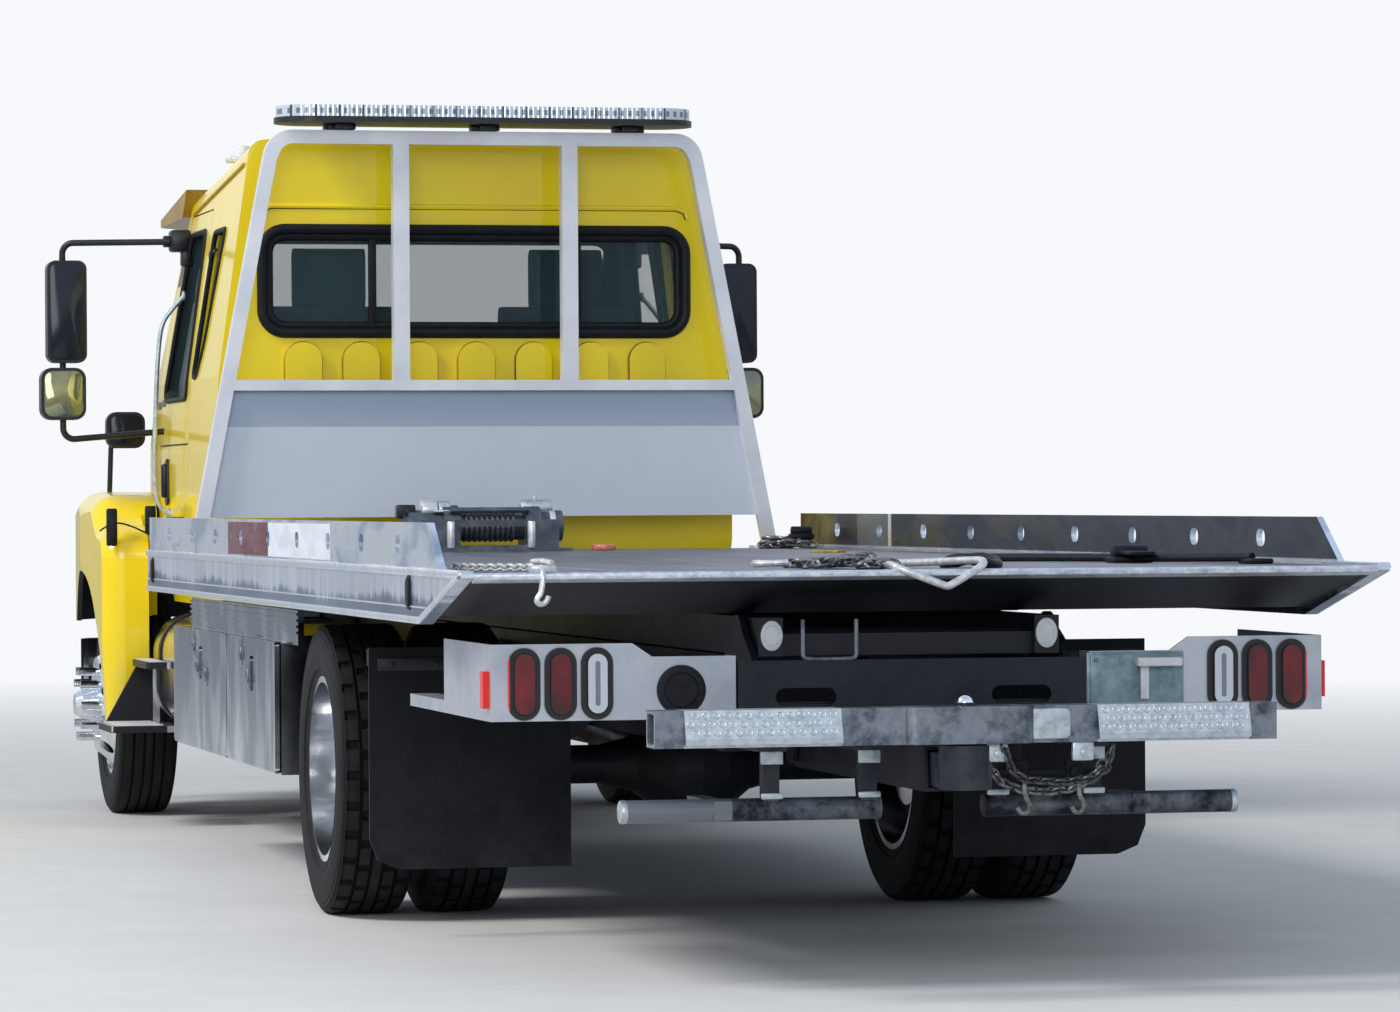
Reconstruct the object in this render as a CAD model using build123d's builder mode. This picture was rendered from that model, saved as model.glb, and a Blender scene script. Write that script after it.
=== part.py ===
from build123d import *
import os
from math import atan2, cos, degrees, hypot, radians, sin

os.makedirs("parts", exist_ok=True)

# Flatbed rollback tow truck, millimetres.
# +X is the passenger side, +Y forward, +Z up. The origin is on the ground, in the middle of
# the truck's width and length. Stations along the truck are counted from the deck's tail.

# Whole vehicle
tail_y = -4680
rear_axle_y = tail_y + 2920
wheelbase = 5690
front_axle_y = rear_axle_y + wheelbase
bumper_y = front_axle_y + 1100
gap = 5
fit_gap = 0.06

# Wheels and tyres
tyre_radius = 460
tyre_half_width = 127
rim_radius = 286
rim_half_width = 103
rim_wall = 11
hub_z = tyre_radius
front_track_half = 1072
dual_inner_x = 780
dual_outer_x = 1085
bolt_circle_radius = 143
nut_count = 10

# Chassis frame
rail_half = 432
rail_flange = 80
rail_wall = 9
rail_height = 270
rail_top = 875
rail_rear_y = tail_y + 640
rail_front_y = bumper_y - 200

# Tilt frame, hinged at the tail of the chassis
tilt_hinge_y = tail_y + 420
tilt_hinge_z = 930
tilt_tube_width = 70
tilt_tube_outer = rail_half - gap
tilt_bottom = rail_top + gap
tilt_top = tilt_bottom + 105

# Bed
deck_half = 1296
deck_length = 6380
deck_top = 1115
deck_plate = 10
side_rail_bottom = 970
side_rail_top = 1123
side_rail_width = 34
tail_wedge = 600
sill_bottom = tilt_top + gap
crossmember_height = 70
board_top = 1249
board_wall = 20
headboard_y = tail_y + deck_length
rail_reach = 70
headboard_top = 2725
headboard_tube = 52

# Cab
cab_clearance = 170
cab_back_y = headboard_y + cab_clearance
cab_half = 1020
cab_floor = 900
cab_roof = 2750
roof_drop = 195
cab_wall = 45
door_gap = 6
glass_wall = 6

# Wheel lift
boom_pivot_y = tail_y + 1300
boom_pivot_z = 585
boom_half = 60
boom_wall = 10
crossbar_y = tail_y - 280
crossbar_half_length = 850
crossbar_bottom = 662
crossbar_size = 98


def across(y):
    """Plane across the truck at station y: x right, z up, extrusions run rearward."""
    return Plane.XZ.offset(-y)


def beside(x):
    """Plane along the truck at x: its own axes are y and z, extrusions run to the right."""
    return Plane.YZ.offset(x)


def level(z):
    return Plane.XY.offset(z)


def wheel_plane(y):
    """Plane through a wheel's axis: its own axes are x and the radius."""
    return Plane(origin=(0, y, hub_z), x_dir=(1, 0, 0), z_dir=(0, -1, 0))


def wheel_axis(y):
    return Axis((0, y, hub_z), (1, 0, 0))


SIDES = (("left", -1), ("right", 1))

# Tyres: a road tyre's section with a bulged wall, revolved about the wheel's axis
tread_half = 112
shoulder_radius = tyre_radius - 14
bulge_radius = 372
flange_radius = rim_radius + 14


def tyre_section():
    with BuildSketch(wheel_plane(0), mode=Mode.PRIVATE) as section:
        with BuildLine():
            bead = (rim_half_width - 2, rim_radius + 1)
            heel = (rim_half_width - 2, flange_radius + 1)
            bulge = (tyre_half_width, bulge_radius)
            shoulder = (tread_half + 2, shoulder_radius)
            tread = (tread_half - 10, tyre_radius)
            Line(bead, heel)
            ThreePointArc(heel, bulge, shoulder)
            Line(shoulder, tread)
            Line(tread, (0, tyre_radius))
            Line((0, tyre_radius), (-tread[0], tread[1]))
            Line((-tread[0], tread[1]), (-shoulder[0], shoulder[1]))
            ThreePointArc((-shoulder[0], shoulder[1]), (-bulge[0], bulge[1]), (-heel[0], heel[1]))
            Line((-heel[0], heel[1]), (-bead[0], bead[1]))
            Line((-bead[0], bead[1]), bead)
        make_face()
    return section.sketch_local


for side, s in SIDES:
    with BuildPart() as tyre_front:
        with BuildSketch(wheel_plane(front_axle_y)):
            with Locations((s * front_track_half, 0)):
                add(tyre_section())
        revolve(axis=wheel_axis(front_axle_y))
    tyre_front.part.label = f"tyre_front_{side}"
    export_step(tyre_front.part, f"parts/tyre_front_{side}.step")

    with BuildPart() as tyres_rear:
        with BuildSketch(wheel_plane(rear_axle_y)):
            with Locations((s * dual_inner_x, 0), (s * dual_outer_x, 0)):
                add(tyre_section())
        revolve(axis=wheel_axis(rear_axle_y))
    tyres_rear.part.label = f"tyres_rear_{side}"
    export_step(tyres_rear.part, f"parts/tyres_rear_{side}.step")

# Rims: steel hubs and polished discs. The front disc stands out past the tyre with its hub
# and nuts; the rear pair lie back to back, so the outer one is a deep dish.
disc_wall = 16
disc_outset = 168
hub_radius = 112
hub_cap_radius = 62
hand_hole_radius = 27
hand_hole_circle = 218
nut_radius = 17
nut_length = 44
front_nut_length = 80
spindle_front_radius = 35
spindle_rear_radius = 45
front_cap_length = 92
dual_middle_x = (dual_inner_x + dual_outer_x) / 2


def rim_section(centre, disc_x, turn):
    """Barrel with two flanges, and a disc that runs to its bolting face at disc_x."""
    outer, inner = rim_radius, rim_radius - rim_wall
    edge = rim_half_width + 7
    root = centre + turn * 78
    mirror_sign = 1 if turn > 0 else -1
    barrel = [(-edge, inner), (-edge, flange_radius), (-rim_half_width, flange_radius),
              (-rim_half_width, outer), (rim_half_width, outer), (rim_half_width, flange_radius),
              (edge, flange_radius), (edge, inner)]
    Polygon(*[(centre + x, r) for x, r in barrel])
    t = mirror_sign * disc_wall
    Polygon((root, inner + 2), (root - t, inner + 2), (disc_x - t, 190), (disc_x - t, 60),
            (disc_x, 60), (disc_x, 196))


for side, s in SIDES:
    face_x = s * (front_track_half + disc_outset)
    with BuildPart() as rim_front:
        with BuildSketch(wheel_plane(front_axle_y)):
            rim_section(s * front_track_half, face_x, s)
            bore = spindle_front_radius + fit_gap
            hub_root = s * (front_track_half + 10)
            Polygon((hub_root, bore), (hub_root, hub_radius - 14), (face_x - s * disc_wall, hub_radius),
                    (face_x, hub_radius), (face_x, hub_cap_radius + 14),
                    (face_x + s * front_cap_length * 0.7, hub_cap_radius),
                    (face_x + s * front_cap_length, hub_cap_radius - 18),
                    (face_x + s * front_cap_length, 0), (face_x - s * 20, 0), (face_x - s * 20, bore))
        revolve(axis=wheel_axis(front_axle_y))
        nut_plane = Plane(origin=(face_x, front_axle_y, hub_z), x_dir=(0, 1, 0), z_dir=(s, 0, 0))
        with BuildSketch(nut_plane):
            with PolarLocations(bolt_circle_radius, nut_count):
                Circle(nut_radius)
        extrude(amount=front_nut_length)
        with BuildSketch(nut_plane.offset(20)):
            with PolarLocations(hand_hole_circle, nut_count, start_angle=18):
                Circle(hand_hole_radius)
        extrude(amount=-120, mode=Mode.SUBTRACT)
    rim_front.part.label = f"rim_front_{side}"
    export_step(rim_front.part, f"parts/rim_front_{side}.step")

    middle = s * dual_middle_x
    with BuildPart() as rims_rear:
        with BuildSketch(wheel_plane(rear_axle_y)):
            rim_section(s * dual_outer_x, middle + s * disc_wall, -s)
            rim_section(s * dual_inner_x, middle - s * disc_wall, s)
            bore = spindle_rear_radius + fit_gap
            Polygon((s * (dual_inner_x - 60), bore), (s * (dual_inner_x - 60), 150),
                    (middle - s * 2 * disc_wall, 150), (middle + s * 2 * disc_wall, hub_radius - 12),
                    (middle + s * 120, hub_radius - 20), (middle + s * 132, hub_radius - 34),
                    (middle + s * 132, 0), (middle + s * 70, 0), (middle + s * 70, bore))
        revolve(axis=wheel_axis(rear_axle_y))
        nut_plane = Plane(origin=(middle, rear_axle_y, hub_z), x_dir=(0, 1, 0), z_dir=(s, 0, 0))
        with BuildSketch(nut_plane):
            with PolarLocations(bolt_circle_radius, nut_count):
                Circle(nut_radius)
        extrude(amount=disc_wall + nut_length)
        with BuildSketch(nut_plane.offset(80)):
            with PolarLocations(hand_hole_circle, nut_count, start_angle=18):
                Circle(hand_hole_radius)
        extrude(amount=-160, mode=Mode.SUBTRACT)
    rims_rear.part.label = f"rims_rear_{side}"
    export_step(rims_rear.part, f"parts/rims_rear_{side}.step")

# Frame rails: two channels open inward, joined by crossmembers
crossmember_rows = (  # station from the tail, bottom, top
    (1300, 700, 850),
    (1750, 610, 760),
    (3800, 705, 855),
    (5000, 705, 855),
    (6400, 705, 855),
    (9420, 640, 840),
)
crossmember_depth = 70
hanger_wall = 14
boom_pin_radius = 20

# Cylinder pins: the tilt cylinders' feet on the frame, the lift cylinder's on the tail frame
cylinder_x = 240
eye_half = 30
pin_radius = 18
foot_radius = 32
clevis_wall = 14
tilt_foot = (tail_y + 1850, 650)
lift_foot = (tail_y + 880, 826)

with BuildPart() as frame_rails:
    with BuildSketch(across(rail_front_y)):
        with Locations((rail_half - rail_flange / 2, rail_top - rail_height / 2)):
            Rectangle(rail_flange, rail_height)
        with Locations((rail_half - rail_wall - rail_flange / 2, rail_top - rail_height / 2)):
            Rectangle(rail_flange, rail_height - 2 * rail_wall, mode=Mode.SUBTRACT)
        mirror(about=Plane.YZ)
    extrude(amount=rail_front_y - rail_rear_y)
    for station, bottom, top in crossmember_rows:
        with BuildSketch(across(tail_y + station + crossmember_depth / 2)):
            with Locations((0, (bottom + top) / 2)):
                Rectangle(2 * (rail_half - rail_wall), top - bottom)
        extrude(amount=crossmember_depth)
    # hangers of the wheel lift's boom, below the rear crossmember
    with BuildSketch(beside(boom_half + gap)):
        with Locations((boom_pivot_y, boom_pivot_z)):
            Circle(48)
        with Locations((boom_pivot_y, (boom_pivot_z + 705) / 2)):
            Rectangle(96, 705 - boom_pivot_z)
        with Locations((boom_pivot_y, boom_pivot_z)):
            Circle(boom_pin_radius + fit_gap, mode=Mode.SUBTRACT)
    extrude(amount=hanger_wall)
    # clevis plates and pins of the tilt cylinders' feet, ahead of the second crossmember
    for x in (cylinder_x - eye_half - 1 - clevis_wall, cylinder_x + eye_half + 1):
        with BuildSketch(beside(x)):
            with Locations(tilt_foot):
                Circle(foot_radius)
            with Locations(((tilt_foot[0] + tail_y + 1750) / 2, tilt_foot[1])):
                Rectangle(tilt_foot[0] - tail_y - 1750, 2 * foot_radius - 8)
        extrude(amount=clevis_wall)
    with BuildSketch(beside(cylinder_x - eye_half - 1)):
        with Locations(tilt_foot):
            Circle(pin_radius)
    extrude(amount=2 * eye_half + 2)
    mirror(about=Plane.YZ)
frame_rails.part.label = "frame_rails"
export_step(frame_rails.part, "parts/frame_rails.step")

# Tail frame: side plates beside the rails, hinge lugs for the tilt frame, the cross plate
# between the lamp panels, and the blank number plate's bracket
tail_plate_y = tail_y + 235
tail_plate_half = 495
tail_plate_bottom = 660
tail_plate_top = 870
tail_side_wall = 18
tilt_pin_radius = 24

with BuildPart() as tail_frame:
    with BuildSketch(across(tail_plate_y)):
        with Locations((0, (tail_plate_bottom + tail_plate_top) / 2)):
            Rectangle(2 * tail_plate_half, tail_plate_top - tail_plate_bottom)
        with Locations((-305, 770), (305, 770)):
            SlotOverall(170, 50, mode=Mode.SUBTRACT)
    extrude(amount=20)
    with BuildSketch(beside(rail_half)):
        Polygon((tail_plate_y, tail_plate_bottom), (tail_y + 1150, tail_plate_bottom - 40),
                (tail_y + 1150, rail_top - 10), (tilt_hinge_y + 150, rail_top - 10),
                (tilt_hinge_y + 60, tilt_hinge_z + 20), (tilt_hinge_y - 60, tilt_hinge_z + 20),
                (tail_plate_y, tail_plate_top))
        with Locations((tilt_hinge_y, tilt_hinge_z)):
            Circle(62)
            Circle(tilt_pin_radius + fit_gap, mode=Mode.SUBTRACT)
    extrude(amount=tail_side_wall)
    mirror(about=Plane.YZ)
    cross_tubes = (  # front face, half width, bottom, top
        (tail_y + 340, rail_half, 655, 755),
        (tail_y + 990, rail_half - rail_wall, 800, 860),
    )
    for front, half, bottom, top in cross_tubes:
        with BuildSketch(across(front)):
            with Locations((0, (bottom + top) / 2)):
                Rectangle(2 * half, top - bottom)
        extrude(amount=60)
    with BuildSketch(across(tail_plate_y)):
        with Locations((0, 705)):
            Rectangle(2 * rail_half, 90)
    extrude(amount=-50)
    # clevis plates of the lift cylinder's foot
    for x in (eye_half + 1, -eye_half - 1 - clevis_wall):
        with BuildSketch(beside(x)):
            with Locations(lift_foot):
                Circle(foot_radius)
            with Locations(((lift_foot[0] + tail_y + 940) / 2, lift_foot[1])):
                Rectangle(tail_y + 940 - lift_foot[0], 2 * foot_radius - 12)
        extrude(amount=clevis_wall)
    with BuildSketch(beside(-eye_half - 1)):
        with Locations(lift_foot):
            Circle(pin_radius)
    extrude(amount=2 * eye_half + 2)
tail_frame.part.label = "tail_frame"
export_step(tail_frame.part, "parts/tail_frame.step")

# Rear lamp panels: bent aluminium, carried by tubes from the tail frame
panel_y = tail_y + 220
panel_wall = 8
panel_bottom = 715
panel_top = 922
panel_inner = 500
panel_outer = 1175
panel_step_outer = 787
panel_step_inner = 732
panel_step_z = 885
lamp_rows = (1085, 985, 885)
lamp_z = 815
lamp_height = 165
lamp_width = 58
grommet = 15

with BuildPart() as rear_lamp_panels:
    for side, s in SIDES:
        with BuildSketch(across(panel_y + panel_wall)):
            Polygon(*[(s * x, z) for x, z in ((panel_inner, panel_bottom), (panel_outer, panel_bottom),
                    (panel_outer, panel_top), (panel_step_outer, panel_top),
                    (panel_step_inner, panel_step_z), (panel_inner, panel_step_z))])
            with Locations(*[(s * x, lamp_z) for x in lamp_rows]):
                SlotOverall(lamp_height + 6, lamp_width + 6, rotation=90, mode=Mode.SUBTRACT)
        extrude(amount=panel_wall)
        with BuildSketch(across(tail_y + 910)):
            with Locations((s * (panel_outer - panel_wall / 2), (panel_bottom + panel_top) / 2)):
                Rectangle(panel_wall, panel_top - panel_bottom)
        extrude(amount=910 - 220)
        with BuildSketch(across(tail_y + 1450)):
            with Locations((s * (panel_outer - 40), panel_bottom + 17)):
                Rectangle(80, 35)
        extrude(amount=1450 - 280)
        with BuildSketch(across(panel_y + 90)):
            with Locations((s * (rail_half + tail_side_wall + panel_outer - panel_wall) / 2, panel_bottom + 20)):
                Rectangle(panel_outer - panel_wall - rail_half - tail_side_wall, 40)
        extrude(amount=40)
        with BuildSketch(across(panel_y + 90)):
            with Locations((s * (panel_inner + 4), (panel_bottom + panel_step_z) / 2)):
                Rectangle(8, panel_step_z - panel_bottom)
        extrude(amount=90 - panel_wall)
rear_lamp_panels.part.label = "rear_lamp_panels"
export_step(rear_lamp_panels.part, "parts/rear_lamp_panels.step")

with BuildPart() as rear_lamps:
    for side, s in SIDES:
        with BuildSketch(across(panel_y)):
            with Locations(*[(s * x, lamp_z) for x in lamp_rows]):
                SlotOverall(lamp_height + 2 * grommet, lamp_width + 2 * grommet, rotation=90)
        extrude(amount=8)
        with BuildSketch(across(panel_y)):
            with Locations(*[(s * x, lamp_z) for x in lamp_rows]):
                SlotOverall(lamp_height, lamp_width, rotation=90)
        extrude(amount=16)
        with BuildSketch(across(panel_y + 26)):
            with Locations(*[(s * x, lamp_z) for x in lamp_rows]):
                SlotOverall(lamp_height, lamp_width, rotation=90)
        extrude(amount=26)
        with BuildSketch(across(panel_y + 66)):
            with Locations((s * (panel_outer + 9), 800)):
                Rectangle(18, 100)
        extrude(amount=44)
rear_lamps.part.label = "rear_lamps"
export_step(rear_lamps.part, "parts/rear_lamps.step")

# Rear axle: banjo housing and tube with spindles, on two leaf packs hung from the rails
spring_width = 72
spring_inner = rail_half + 14
rear_spring_half = 700
rear_spring_z = 700
axle_tube_radius = 62

with BuildPart() as rear_axle:
    with BuildSketch(wheel_plane(rear_axle_y)):
        Polygon((0, 0), (0, 195), (90, 170), (190, 90), (300, axle_tube_radius),
                (dual_inner_x - 100, axle_tube_radius), (dual_inner_x - 100, spindle_rear_radius),
                (dual_middle_x + 60, spindle_rear_radius), (dual_middle_x + 60, 0))
    revolve(axis=wheel_axis(rear_axle_y))
    with BuildSketch(beside(spring_inner)):
        with BuildLine():
            lower = ThreePointArc((rear_axle_y - rear_spring_half, rear_spring_z - 30),
                                  (rear_axle_y, hub_z + axle_tube_radius + 14),
                                  (rear_axle_y + rear_spring_half, rear_spring_z - 30))
            upper = ThreePointArc((rear_axle_y - rear_spring_half, rear_spring_z),
                                  (rear_axle_y, hub_z + axle_tube_radius + 84),
                                  (rear_axle_y + rear_spring_half, rear_spring_z))
            Line(lower @ 0, upper @ 0)
            Line(lower @ 1, upper @ 1)
        make_face()
        with Locations((rear_axle_y, hub_z + axle_tube_radius)):
            Rectangle(150, 60)
    extrude(amount=spring_width)
    with BuildSketch(beside(rail_half)):
        for end in (-1, 1):
            with Locations((rear_axle_y + end * rear_spring_half, rear_spring_z + 15)):
                RectangleRounded(90, 130, 30)
    extrude(amount=spring_inner + spring_width - rail_half)
    mirror(about=Plane.YZ)
rear_axle.part.label = "rear_axle"
export_step(rear_axle.part, "parts/rear_axle.step")

# Front axle: dropped beam with kingpins, on two leaf packs
kingpin_x = 900
kingpin_radius = 22
front_spring_half = 620
boss_radius = 42
boss_half = 50

with BuildPart() as front_axle:
    with BuildSketch(across(front_axle_y + 45)):
        Polygon((0, 330), (560, 330), (760, 410), (kingpin_x, 410), (kingpin_x, 510),
                (740, 510), (540, 430), (0, 430))
    extrude(amount=90)
    with BuildSketch(level(hub_z - boss_half)):
        with Locations((kingpin_x, front_axle_y)):
            Circle(boss_radius)
    extrude(amount=2 * boss_half)
    with BuildSketch(level(hub_z - 120)):
        with Locations((kingpin_x, front_axle_y)):
            Circle(kingpin_radius)
    extrude(amount=240)
    with BuildSketch(beside(spring_inner - 40)):
        with BuildLine():
            lower = ThreePointArc((front_axle_y - front_spring_half, 560), (front_axle_y, 428),
                                  (front_axle_y + front_spring_half, 560))
            upper = ThreePointArc((front_axle_y - front_spring_half, 590), (front_axle_y, 490),
                                  (front_axle_y + front_spring_half, 590))
            Line(lower @ 0, upper @ 0)
            Line(lower @ 1, upper @ 1)
        make_face()
        for end in (-1, 1):
            with Locations((front_axle_y + end * front_spring_half, 575)):
                RectangleRounded(90, 2 * (rail_top - rail_height - 575), 25)
    extrude(amount=spring_width)
    mirror(about=Plane.YZ)
front_axle.part.label = "front_axle"
export_step(front_axle.part, "parts/front_axle.step")

# Knuckles: a fork about the kingpin, the wheel's spindle and a steering arm
fork_wall = 56
spindle_end = front_track_half + 130

for side, s in SIDES:
    with BuildPart() as knuckle:
        for bottom in (hub_z + boss_half + gap, hub_z - boss_half - gap - fork_wall):
            with BuildSketch(level(bottom)):
                with Locations((s * kingpin_x, front_axle_y)):
                    Circle(46)
                with Locations((s * (kingpin_x + 45), front_axle_y)):
                    Rectangle(90, 92)
                with Locations((s * kingpin_x, front_axle_y)):
                    Circle(kingpin_radius + fit_gap, mode=Mode.SUBTRACT)
            extrude(amount=fork_wall)
        with BuildSketch(beside(s * (kingpin_x + 72) - 18)):
            with Locations((front_axle_y, hub_z)):
                RectangleRounded(120, 2 * (boss_half + gap + fork_wall), 20)
        extrude(amount=36)
        with BuildSketch(beside(s * (kingpin_x + 60))):
            with Locations((front_axle_y, hub_z)):
                Circle(spindle_front_radius)
        extrude(amount=s * (spindle_end - kingpin_x - 60))
        with BuildSketch(level(hub_z - boss_half - gap - fork_wall)):
            with Locations((s * (kingpin_x - 30), front_axle_y - 110)):
                Rectangle(50, 190, rotation=s * 15)
        extrude(amount=24)
    knuckle.part.label = f"knuckle_{side}"
    export_step(knuckle.part, f"parts/knuckle_{side}.step")

# Engine and driveline: engine block, gearbox and propeller shaft
engine_length = 860
engine_half = 300
engine_rear_y = front_axle_y - 95
engine_bottom = 640
engine_top = 1230

with BuildPart() as engine:
    with BuildSketch(across(engine_rear_y + engine_length)):
        Polygon((-engine_half + 80, engine_bottom), (engine_half - 80, engine_bottom), (engine_half, 860),
                (engine_half, 1120), (engine_half - 90, engine_top), (-engine_half + 90, engine_top),
                (-engine_half, 1120), (-engine_half, 860))
    extrude(amount=engine_length)
engine.part.label = "engine"
export_step(engine.part, "parts/engine.step")

gearbox_length = 900
shaft_front = (engine_rear_y - gearbox_length, 680)
shaft_rear = (rear_axle_y + 205, hub_z + 20)
shaft_length = hypot(shaft_front[0] - shaft_rear[0], shaft_front[1] - shaft_rear[1])
shaft_rise = atan2(shaft_front[1] - shaft_rear[1], shaft_front[0] - shaft_rear[0])
shaft_plane = Plane(origin=(0, shaft_rear[0], shaft_rear[1]), x_dir=(1, 0, 0),
                    z_dir=(0, cos(shaft_rise), sin(shaft_rise)))

with BuildPart() as driveline:
    with BuildSketch(across(engine_rear_y)):
        with Locations((0, 740)):
            Circle(150)
    with BuildSketch(across(shaft_front[0])):
        with Locations((0, 700)):
            Circle(110)
    loft()
    with BuildSketch(shaft_plane):
        Circle(45)
    extrude(amount=shaft_length + 20)
    with BuildSketch(shaft_plane):
        Circle(75)
    extrude(amount=60)
    with BuildSketch(shaft_plane.offset(shaft_length - 90)):
        Circle(75)
    extrude(amount=100)
driveline.part.label = "driveline"
export_step(driveline.part, "parts/driveline.step")

# Front bumper: a bent steel bar with swept ends, on the rails' horns
bumper_half = 1215
bumper_bottom = 430
bumper_top = 715
bumper_sweep = 240
bumper_wall = 12
hood_hinge_y = bumper_y - 95
hood_hinge_z = bumper_top + 30
hood_hinge_radius = 22
hood_pin_radius = 12
hood_arm_inner = 450
hood_arm_wall = 20

with BuildPart() as front_bumper:
    with BuildSketch(level(bumper_bottom)):
        with BuildLine():
            front = Polyline((-bumper_half, bumper_y - bumper_sweep - 90),
                             (-bumper_half + 30, bumper_y - bumper_sweep),
                             (-700, bumper_y - 40), (0, bumper_y), (700, bumper_y - 40),
                             (bumper_half - 30, bumper_y - bumper_sweep),
                             (bumper_half, bumper_y - bumper_sweep - 90))
            back = Polyline((bumper_half - bumper_wall, bumper_y - bumper_sweep - 90),
                            (bumper_half - 30 - bumper_wall, bumper_y - bumper_sweep - bumper_wall),
                            (700, bumper_y - 40 - bumper_wall), (0, bumper_y - bumper_wall),
                            (-700, bumper_y - 40 - bumper_wall),
                            (-bumper_half + 30 + bumper_wall, bumper_y - bumper_sweep - bumper_wall),
                            (-bumper_half + bumper_wall, bumper_y - bumper_sweep - 90))
            Line(front @ 1, back @ 0)
            Line(back @ 1, front @ 0)
        make_face()
    extrude(amount=bumper_top - bumper_bottom)
    for s in (-1, 1):
        with BuildSketch(across(bumper_y - 30)):
            with Locations((s * (rail_half - rail_flange / 2), 640)):
                Rectangle(rail_flange - 20, 90)
        extrude(amount=bumper_y - 30 - rail_front_y)
        # hinge post and pin of the hood on each horn
        with BuildSketch(beside(s * (rail_half - 30))):
            with Locations((hood_hinge_y, (600 + hood_hinge_z) / 2)):
                Rectangle(2 * hood_hinge_radius, hood_hinge_z - 600)
            with Locations((hood_hinge_y, hood_hinge_z)):
                Circle(hood_hinge_radius)
        extrude(amount=s * 20)
        with BuildSketch(beside(s * (rail_half - 30))):
            with Locations((hood_hinge_y, hood_hinge_z)):
                Circle(hood_pin_radius)
        extrude(amount=s * (hood_arm_inner + hood_arm_wall - rail_half + 30))
front_bumper.part.label = "front_bumper"
export_step(front_bumper.part, "parts/front_bumper.step")

# Cab: one outer form, its walls and layers by inset
belt_z = 1790
windshield_foot_y = tail_y + 8480
windshield_head_y = tail_y + 8020
windshield_foot_z = 1600
windshield_head_z = cab_roof - 280
cowl_y = tail_y + 8500
side_lean = 0.1406
roof_shoulder = 50
roof_round = 64


def sketch_corners():
    return BuildSketch._get_context().vertices()


def cab_section(roof, inset):
    """Section across the cab: upright to the belt, leaned in above it, with a crowned roof."""
    shoulder_z = roof - roof_shoulder
    shoulder_x = cab_half - 13 - side_lean * (shoulder_z - belt_z)
    right = ((cab_half - 30, cab_floor), (cab_half, 1150), (cab_half, 1500), (cab_half - 13, belt_z),
             (shoulder_x, shoulder_z), (0, roof))
    Polygon(*right, *[(-x, z) for x, z in reversed(right[:-1])])
    offset(amount=-inset, kind=Kind.INTERSECTION)
    fillet(sketch_corners().filter_by_position(Axis.Y, roof - inset - 120, roof - inset - 20),
           radius=max(roof_round - inset, 8))


def cab_form(inset):
    """The cab's closed outer form, smaller by an inset all round."""
    with BuildPart(mode=Mode.PRIVATE) as form:
        with BuildSketch(beside(-cab_half)):
            Polygon((cab_back_y, cab_floor), (cowl_y - 520, cab_floor), (cowl_y - 370, 1090),
                    (cowl_y, 1120), (cowl_y, 1560),
                    (windshield_foot_y, windshield_foot_z), (windshield_head_y, windshield_head_z),
                    (windshield_head_y - 130, cab_roof + 10), (cab_back_y + 60, cab_roof + 10),
                    (cab_back_y, cab_roof - 30))
            offset(amount=-inset, kind=Kind.INTERSECTION)
        extrude(amount=2 * cab_half)
        with BuildSketch(across(cab_back_y - 20)):
            cab_section(cab_roof, inset)
        with BuildSketch(across(cowl_y + 20)):
            cab_section(cab_roof - roof_drop, inset)
        loft(mode=Mode.INTERSECT)
    return form.part


cab_outer = cab_form(0)
cab_inner = cab_form(cab_wall)
glass_outer = cab_form((cab_wall - glass_wall) / 2)
glass_inner = cab_form((cab_wall + glass_wall) / 2)

# Doors turn about upright pins at their front edges, so their rear edges are round about them
door_hinge_x = cab_half + 4
door_hinge_y = tail_y + 8190
door_length = 860
door_bottom = 1246
door_head_z = cab_roof - 280
door_outline = ((door_hinge_y - 8, 1700), (door_hinge_y - 260, door_head_z),
                (door_hinge_y - door_length - 20, door_head_z), (door_hinge_y - door_length - 20, 1520),
                (door_hinge_y - door_length + 120, door_bottom), (door_hinge_y - 200, door_bottom),
                (door_hinge_y - 8, 1480))
window_outline = ((door_hinge_y - 120, 1720), (door_hinge_y - 316, door_head_z - 75),
                  (door_hinge_y - door_length + 110, door_head_z - 75), (door_hinge_y - door_length + 90, 1720))
quarter_outline = ((cab_back_y + 330, door_head_z - 95), (cab_back_y + 640, door_head_z - 95), (cab_back_y + 720, 1800),
                   (cab_back_y + 620, 1800), (cab_back_y + 510, 1930))
rear_window_z = 2157
rear_window_half = cab_half - 192
rear_window_height = 385


def side_zone(outline, s, grow, radius):
    """A block through one side of the cab with the given outline, seen along X."""
    with BuildPart(mode=Mode.PRIVATE) as zone:
        with BuildSketch(beside(s * (cab_half - 260))):
            Polygon(*outline)
            fillet(sketch_corners(), radius=radius)
            if grow:
                offset(amount=grow)
        extrude(amount=s * 300)
    return zone.part


def door_zone(s, grow):
    """The door's place in the side: its outline, ended by a cylinder about its pin."""
    with BuildPart(mode=Mode.PRIVATE) as zone:
        add(side_zone(door_outline, s, grow, 40))
        with BuildSketch(level(door_bottom - 50)):
            with Locations((s * door_hinge_x, door_hinge_y)):
                Circle(door_length + grow)
        extrude(amount=1600, mode=Mode.INTERSECT)
    return zone.part


windshield_rise = atan2(windshield_head_z - windshield_foot_z, windshield_foot_y - windshield_head_y)
windshield_length = hypot(windshield_head_z - windshield_foot_z, windshield_foot_y - windshield_head_y)
windshield_plane = Plane(origin=(0, (windshield_foot_y + windshield_head_y) / 2,
                                 (windshield_foot_z + windshield_head_z) / 2),
                         x_dir=(1, 0, 0), z_dir=(0, -sin(windshield_rise), -cos(windshield_rise)))


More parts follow.
